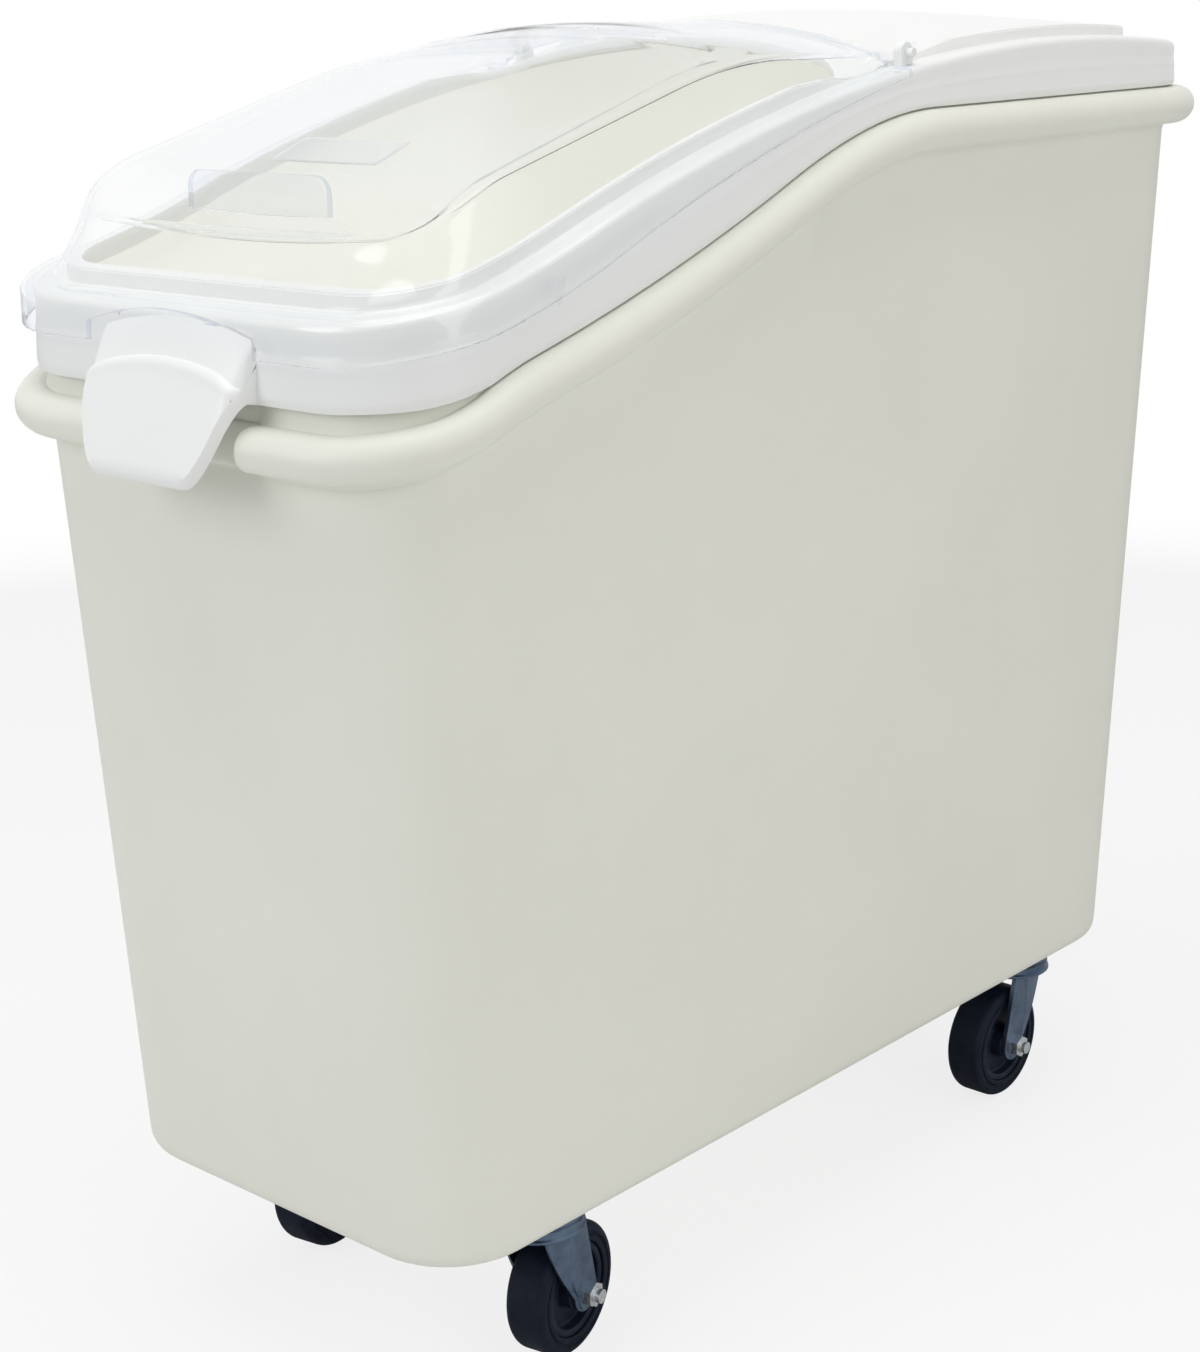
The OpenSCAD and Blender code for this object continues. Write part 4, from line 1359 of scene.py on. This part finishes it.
@dataclass
class Caster:
    """One swivel caster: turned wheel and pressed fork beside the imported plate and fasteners."""

    paint: Paint
    corner: Corner
    wheel_r: float = 38.0
    half_w: float = 12.5
    core_r: float = 27.0
    core_half: float = 11.0
    core_t: float = 4.0
    hub_r: float = 11.0
    hub_half: float = 14.0
    web_half: float = 4.5
    bore_r: float = 6.45
    tread_r: float = 4.95
    groove_r: float = 1.2
    steel_t: float = 3.0
    trail: float = 20.0
    axle_z: float = -63.0
    crown_z: float = -13.6
    crown_r: float = 26.0
    pin_r: float = 6.06
    ball_r: float = 3.06
    race_r: float = 17.0
    race_z: float = -8.3
    race_h: float = 5.0
    leg_x: float = 14.5
    leg_top: Flat = (-16.0, 20.0)
    leg_end_r: float = 11.0
    leg_bow: float = 2.5
    leg_bend: float = 2.9
    crease_y: float = 6.4

    def name(self, piece: str) -> str:
        """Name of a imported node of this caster."""
        return f"{self.corner.value}_{piece}"

    def axle(self) -> Matrix:
        """Placement at the wheel's middle with the axle along Z.

        Returns:
            The placement in metres.
        """
        low, high = (Vector(v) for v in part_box(self.name("tyre")))
        turn = Matrix.Rotation(self.corner.swivel, 4, "Z") @ Matrix.Rotation(math.pi / 2, 4, "Y")
        return Matrix.Translation((low + high) / 2.0) @ turn

    def kingpin(self) -> Matrix:
        """Placement on the tub's base at the kingpin, with the wheel trailing to +Y.

        Returns:
            The placement in metres.
        """
        low, high = (Vector(v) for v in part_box(self.name("kingpin")))
        middle = (low + high) / 2.0
        return Matrix.Translation((middle.x, middle.y, high.z)) @ Matrix.Rotation(self.corner.swivel, 4, "Z")

    def turned(self, name: str, right: list[Flat]) -> bpy.types.Object:
        """Turns the right half of a profile and its mirror image about the axle.

        Args:
            name: Name of the piece.
            right: Radius and height points in order.

        Returns:
            The new object.
        """
        skin = Skin()
        skin.spin(right + [(r, -h) for r, h in reversed(right)])
        return skin.build(name, 42.0, self.axle())

    def tyre(self) -> bpy.types.Object:
        """Builds the rubber tyre with its round tread and side grooves.

        Returns:
            The new object.
        """
        right = [(self.core_r + 0.3, self.half_w - 0.6), (self.core_r + 0.9, self.half_w)]
        groove = (self.core_r + self.wheel_r) / 2.0 - self.groove_r
        for k in range(9):
            a = math.pi * (1.0 - k / 8)
            right.append((groove + self.groove_r * math.cos(a), self.half_w - self.groove_r * math.sin(a)))
        edge = self.wheel_r - self.tread_r
        right += [(edge + self.tread_r * s, self.half_w - self.tread_r * (1.0 - c)) for s, c in arc_shares(9)]
        right.append((self.wheel_r, 3.0))
        return self.turned(self.name("tyre_turned"), right)

    def core(self) -> bpy.types.Object:
        """Builds the wheel core with its dished web and hub.

        Returns:
            The new object.
        """
        hub, core, web = self.hub_half, self.core_half, self.web_half
        right = [(self.bore_r, hub - 0.6), (self.bore_r + 0.6, hub), (self.hub_r - 0.8, hub), (self.hub_r, hub - 0.8)]
        right += [(self.hub_r + 2.2 * (1.0 - c), web + 2.2 * (1.0 - s)) for s, c in arc_shares(5)]
        inner = self.core_r - self.core_t
        right += [(inner - 1.8 * (1.0 - s), web + 1.8 * (1.0 - c)) for s, c in arc_shares(5)]
        right += [(inner + 0.2, core - 0.7), (inner + 0.9, core), (self.core_r - 0.5, core), (self.core_r, core - 0.5)]
        return self.turned(self.name("core_turned"), right)

    def leg_edges(self, z: float) -> Flat:
        """Y of a leg's leading and trailing edges at a height.

        Args:
            z: Height from the tub's base.

        Returns:
            The two places in order.
        """
        if z < self.axle_z:
            half = math.sqrt(max(0.01, self.leg_end_r**2 - (z - self.axle_z) ** 2))
            return self.trail - half, self.trail + half
        top = self.crown_z - self.steel_t
        share = clamp((top - z) / (top - self.axle_z))
        lead, rear = self.leg_top
        bow = self.leg_bow * math.sin(math.pi * share)
        return mix(lead, self.trail - self.leg_end_r, share) - bow, mix(rear, self.trail + self.leg_end_r, share)

    def leg_ring(self, side: int, z: float, sink: float = 0.0) -> list[Point]:
        """Ring round a leg at a height: its outer face with a pressed crease, then its inner face.

        Args:
            side: 1 or -1.
            z: Height from the tub's base.
            sink: How far the outer face lies in at the bend to the crown.

        Returns:
            The ring's points.
        """
        lead, rear = self.leg_edges(z)
        wide = rear - lead
        crease = max(self.crease_y, lead + 0.15 * wide)
        flat = self.leg_x + self.steel_t - sink
        gap = 0.04 * wide * clamp((z - self.axle_z + self.leg_end_r) / 4.0)
        folded = (lead, mix(lead, crease - gap, 0.5), crease - gap)
        outer = [(flat - 0.12 * max(0.0, crease - y), y) for y in folded]
        outer.append((flat - min(1.6, 1.4 * gap), crease))
        outer += [(flat, mix(crease + gap, rear, share)) for share in (0.0, 0.5, 1.0)]
        inner = [(min(self.leg_x, x - 1.4), y) for x, y in reversed(outer)]
        return [(side * x, y, z) for x, y in outer + inner]

    def crown(self) -> list[Flat]:
        """Profile of the fork's crown with its ball race, as radius and height.

        Returns:
            Points in order round the section.
        """
        r, low, top = self.crown_r, self.crown_z - self.steel_t, self.crown_z + self.race_h
        reach = math.sqrt(self.ball_r**2 - (top - self.race_z) ** 2)
        profile = [(self.pin_r, low), (r - 1.0, low), (r, low + 1.0), (r, self.crown_z - 1.0), (r - 1.0, self.crown_z)]
        profile += [(r - 1.0, top - 1.2), (r - 2.2, top), (self.race_r + reach, top)]
        for k in range(1, 8):
            a = mix(-0.1, -math.pi + 0.1, k / 8)
            profile.append((self.race_r + self.ball_r * math.cos(a), self.race_z + self.ball_r * math.sin(a)))
        return profile + [(self.race_r - reach, top), (self.pin_r, top)]

    def fork(self) -> bpy.types.Object:
        """Builds the pressed fork: crown with its race, and two creased legs.

        Returns:
            The new object.
        """
        skin = Skin()
        skin.spin(self.crown())
        low, bend = self.crown_z - self.steel_t, self.leg_bend
        for side in (-1, 1):
            rings = [self.leg_ring(side, self.crown_z - bend * (1.0 - c), bend * (1.0 - s)) for s, c in arc_shares(5)]
            rings += [self.leg_ring(side, mix(low, self.axle_z, k / 8)) for k in range(9)]
            rings += [self.leg_ring(side, self.axle_z - self.leg_end_r * s) for s, _ in arc_shares(8)[1:-1]]
            skin.solid(rings + [self.leg_ring(side, self.axle_z - 0.998 * self.leg_end_r)])
        obj = skin.build(self.name("fork_pressed"), 40.0, self.kingpin())
        soften(obj, 0.0006)
        return obj

    def build(self) -> None:
        """Builds the caster's wheel and fork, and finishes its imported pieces."""
        wheel = self.name("wheel")
        self.paint.piece(self.tyre(), "wheel_rubber", wheel, self.name("tyre"))
        self.paint.piece(self.core(), "wheel_plastic", wheel, self.name("wheel_core"))
        self.paint.piece(self.fork(), "zinc_plate", self.name("swivel"), self.name("fork"))
        for piece, slot, width in (
            ("plate", "zinc_plate", 0.0008), ("kingpin", "zinc_plate", 0.0008),
            ("balls", "bearing_steel", 0.0), ("axle_sleeve", "bearing_steel", 0.0004),
            ("axle_bolt", "zinc_fastener", 0.0006), ("axle_nut", "zinc_fastener", 0.0006),
        ):
            self.paint.packed(self.name(piece), slot, width)


@dataclass(frozen=True)
class Lamp:
    """A soft round area lamp that looks at the bin."""

    name: str
    place: Point
    size: float
    power: float
    color: Color = (1.0, 1.0, 1.0)

    def build(self, target: Vector) -> None:
        """Adds the lamp, turned to the target.

        Args:
            target: Point that it looks at, in metres.
        """
        data = bpy.data.lights.new(self.name, "AREA")
        data.shape = "DISK"
        data.size = self.size
        data.energy = self.power
        data.color = self.color
        obj = bpy.data.objects.new(self.name, data)
        obj.location = self.place
        obj.rotation_euler = (target - Vector(self.place)).to_track_quat("-Z", "Y").to_euler()
        bpy.context.scene.collection.objects.link(obj)


@dataclass
class Studio:
    """Camera, lamps, white surroundings and a pale floor that keeps the shadow."""

    eye: Point = (0.9131, -1.07735, 0.7254)
    right: Point = (0.7495, 0.6619, -0.0126)
    up: Point = (-0.1694, 0.2101, 0.9629)
    forward: Point = (-0.6400, 0.7196, -0.2696)
    lens: float = 64.54
    ambient: float = 0.42
    target: Point = (0.0, 0.0, 0.4)
    floor_half: float = 9.0
    floor_fade: Flat = (0.7, 2.2)
    floor_pale: float = 0.8
    floor_low: Color = (0.86, 0.86, 0.86)
    floor_high: Color = (0.88, 0.88, 0.88)
    lamps: tuple[Lamp, ...] = (
        Lamp("top_lamp", (0.1, -0.3, 2.3), 1.8, 17.5),
        Lamp("front_lamp", (-0.9, -2.1, 1.3), 1.5, 13.2, (0.93, 0.965, 1.0)),
        Lamp("side_lamp", (2.2, -0.3, 1.1), 1.6, 9.6),
    )

    def camera(self) -> None:
        """Places the camera at the photo's view."""
        data = bpy.data.cameras.new("camera")
        data.lens = self.lens
        data.sensor_width = 36.0
        data.clip_start = 0.05
        obj = bpy.data.objects.new("camera", data)
        axes = Matrix((self.right, self.up, tuple(-v for v in self.forward))).transposed()
        obj.matrix_world = Matrix.Translation(self.eye) @ axes.to_4x4()
        bpy.context.scene.collection.objects.link(obj)
        bpy.context.scene.camera = obj

    def world(self) -> None:
        """Makes the surroundings white to look at and dimmer as light."""
        world = bpy.data.worlds.new("surroundings")
        bpy.context.scene.world = world
        world.use_nodes = True
        nodes = Nodes(world.node_tree)
        shader = nodes.tree.nodes["Background"]
        shader.inputs["Color"].default_value = WHITE
        rays = nodes.node("ShaderNodeLightPath").outputs
        seen = nodes.higher(rays["Is Camera Ray"], rays["Is Transmission Ray"])
        seen = nodes.higher(seen, rays["Is Glossy Ray"])
        nodes.link(nodes.spread(seen, self.ambient, 1.0), shader.inputs["Strength"])

    def floor(self) -> None:
        """Adds the floor, which fades into the white surroundings away from the bin."""
        far = self.floor_half
        mesh = bpy.data.meshes.new("floor")
        mesh.from_pydata([(-far, -far, 0.0), (far, -far, 0.0), (far, far, 0.0), (-far, far, 0.0)], [], [[0, 1, 2, 3]])
        obj = bpy.data.objects.new("floor", mesh)
        bpy.context.scene.collection.objects.link(obj)
        s = Shader("floor")
        s.feed("Base Color", s.ramp(s.noise(3.0), self.floor_low, self.floor_high))
        s.set(Roughness=0.9, Specular_IOR_Level=0.1)
        away = s.node("ShaderNodeVectorMath", operation="LENGTH")
        s.link(s.place, away.inputs[0])
        near, gone = self.floor_fade
        fade = s.node("ShaderNodeMapRange", interpolation_type="SMOOTHSTEP", From_Min=near, From_Max=gone)
        s.link(away.outputs["Value"], fade.inputs["Value"])
        pale = s.node("ShaderNodeMath", operation="MAXIMUM")
        s.link(fade.outputs["Result"], pale.inputs[0])
        pale.inputs[1].default_value = self.floor_pale
        rays = s.node("ShaderNodeLightPath").outputs
        white = s.node("ShaderNodeMath", operation="MULTIPLY")
        s.link(s.higher(rays["Is Camera Ray"], rays["Is Transmission Ray"]), white.inputs[0])
        s.link(pale.outputs[0], white.inputs[1])
        s.blend(white.outputs[0], s.node("ShaderNodeEmission", Color=WHITE, Strength=1.0))
        mesh.materials.append(s.material)

    def build(self) -> None:
        """Builds the studio."""
        bpy.context.scene.view_settings.view_transform = "Standard"
        self.camera()
        self.world()
        self.floor()
        for lamp in self.lamps:
            lamp.build(Vector(self.target))
        LOG.info("built studio")


def main() -> None:
    """Builds the bin and its studio."""
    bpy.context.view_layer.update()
    paint = Paint()
    Tub(paint).build()
    LidFrame(paint).build()
    ClearLid(paint).build()
    for corner in Corner:
        Caster(paint, corner).build()
    for name in ("plate_screws", "screw_washers", "screw_nuts"):
        paint.packed(name, "zinc_fastener", 0.0004)
    Studio().build()


if __name__ == "__main__":
    logging.basicConfig(level=logging.INFO)
    main()
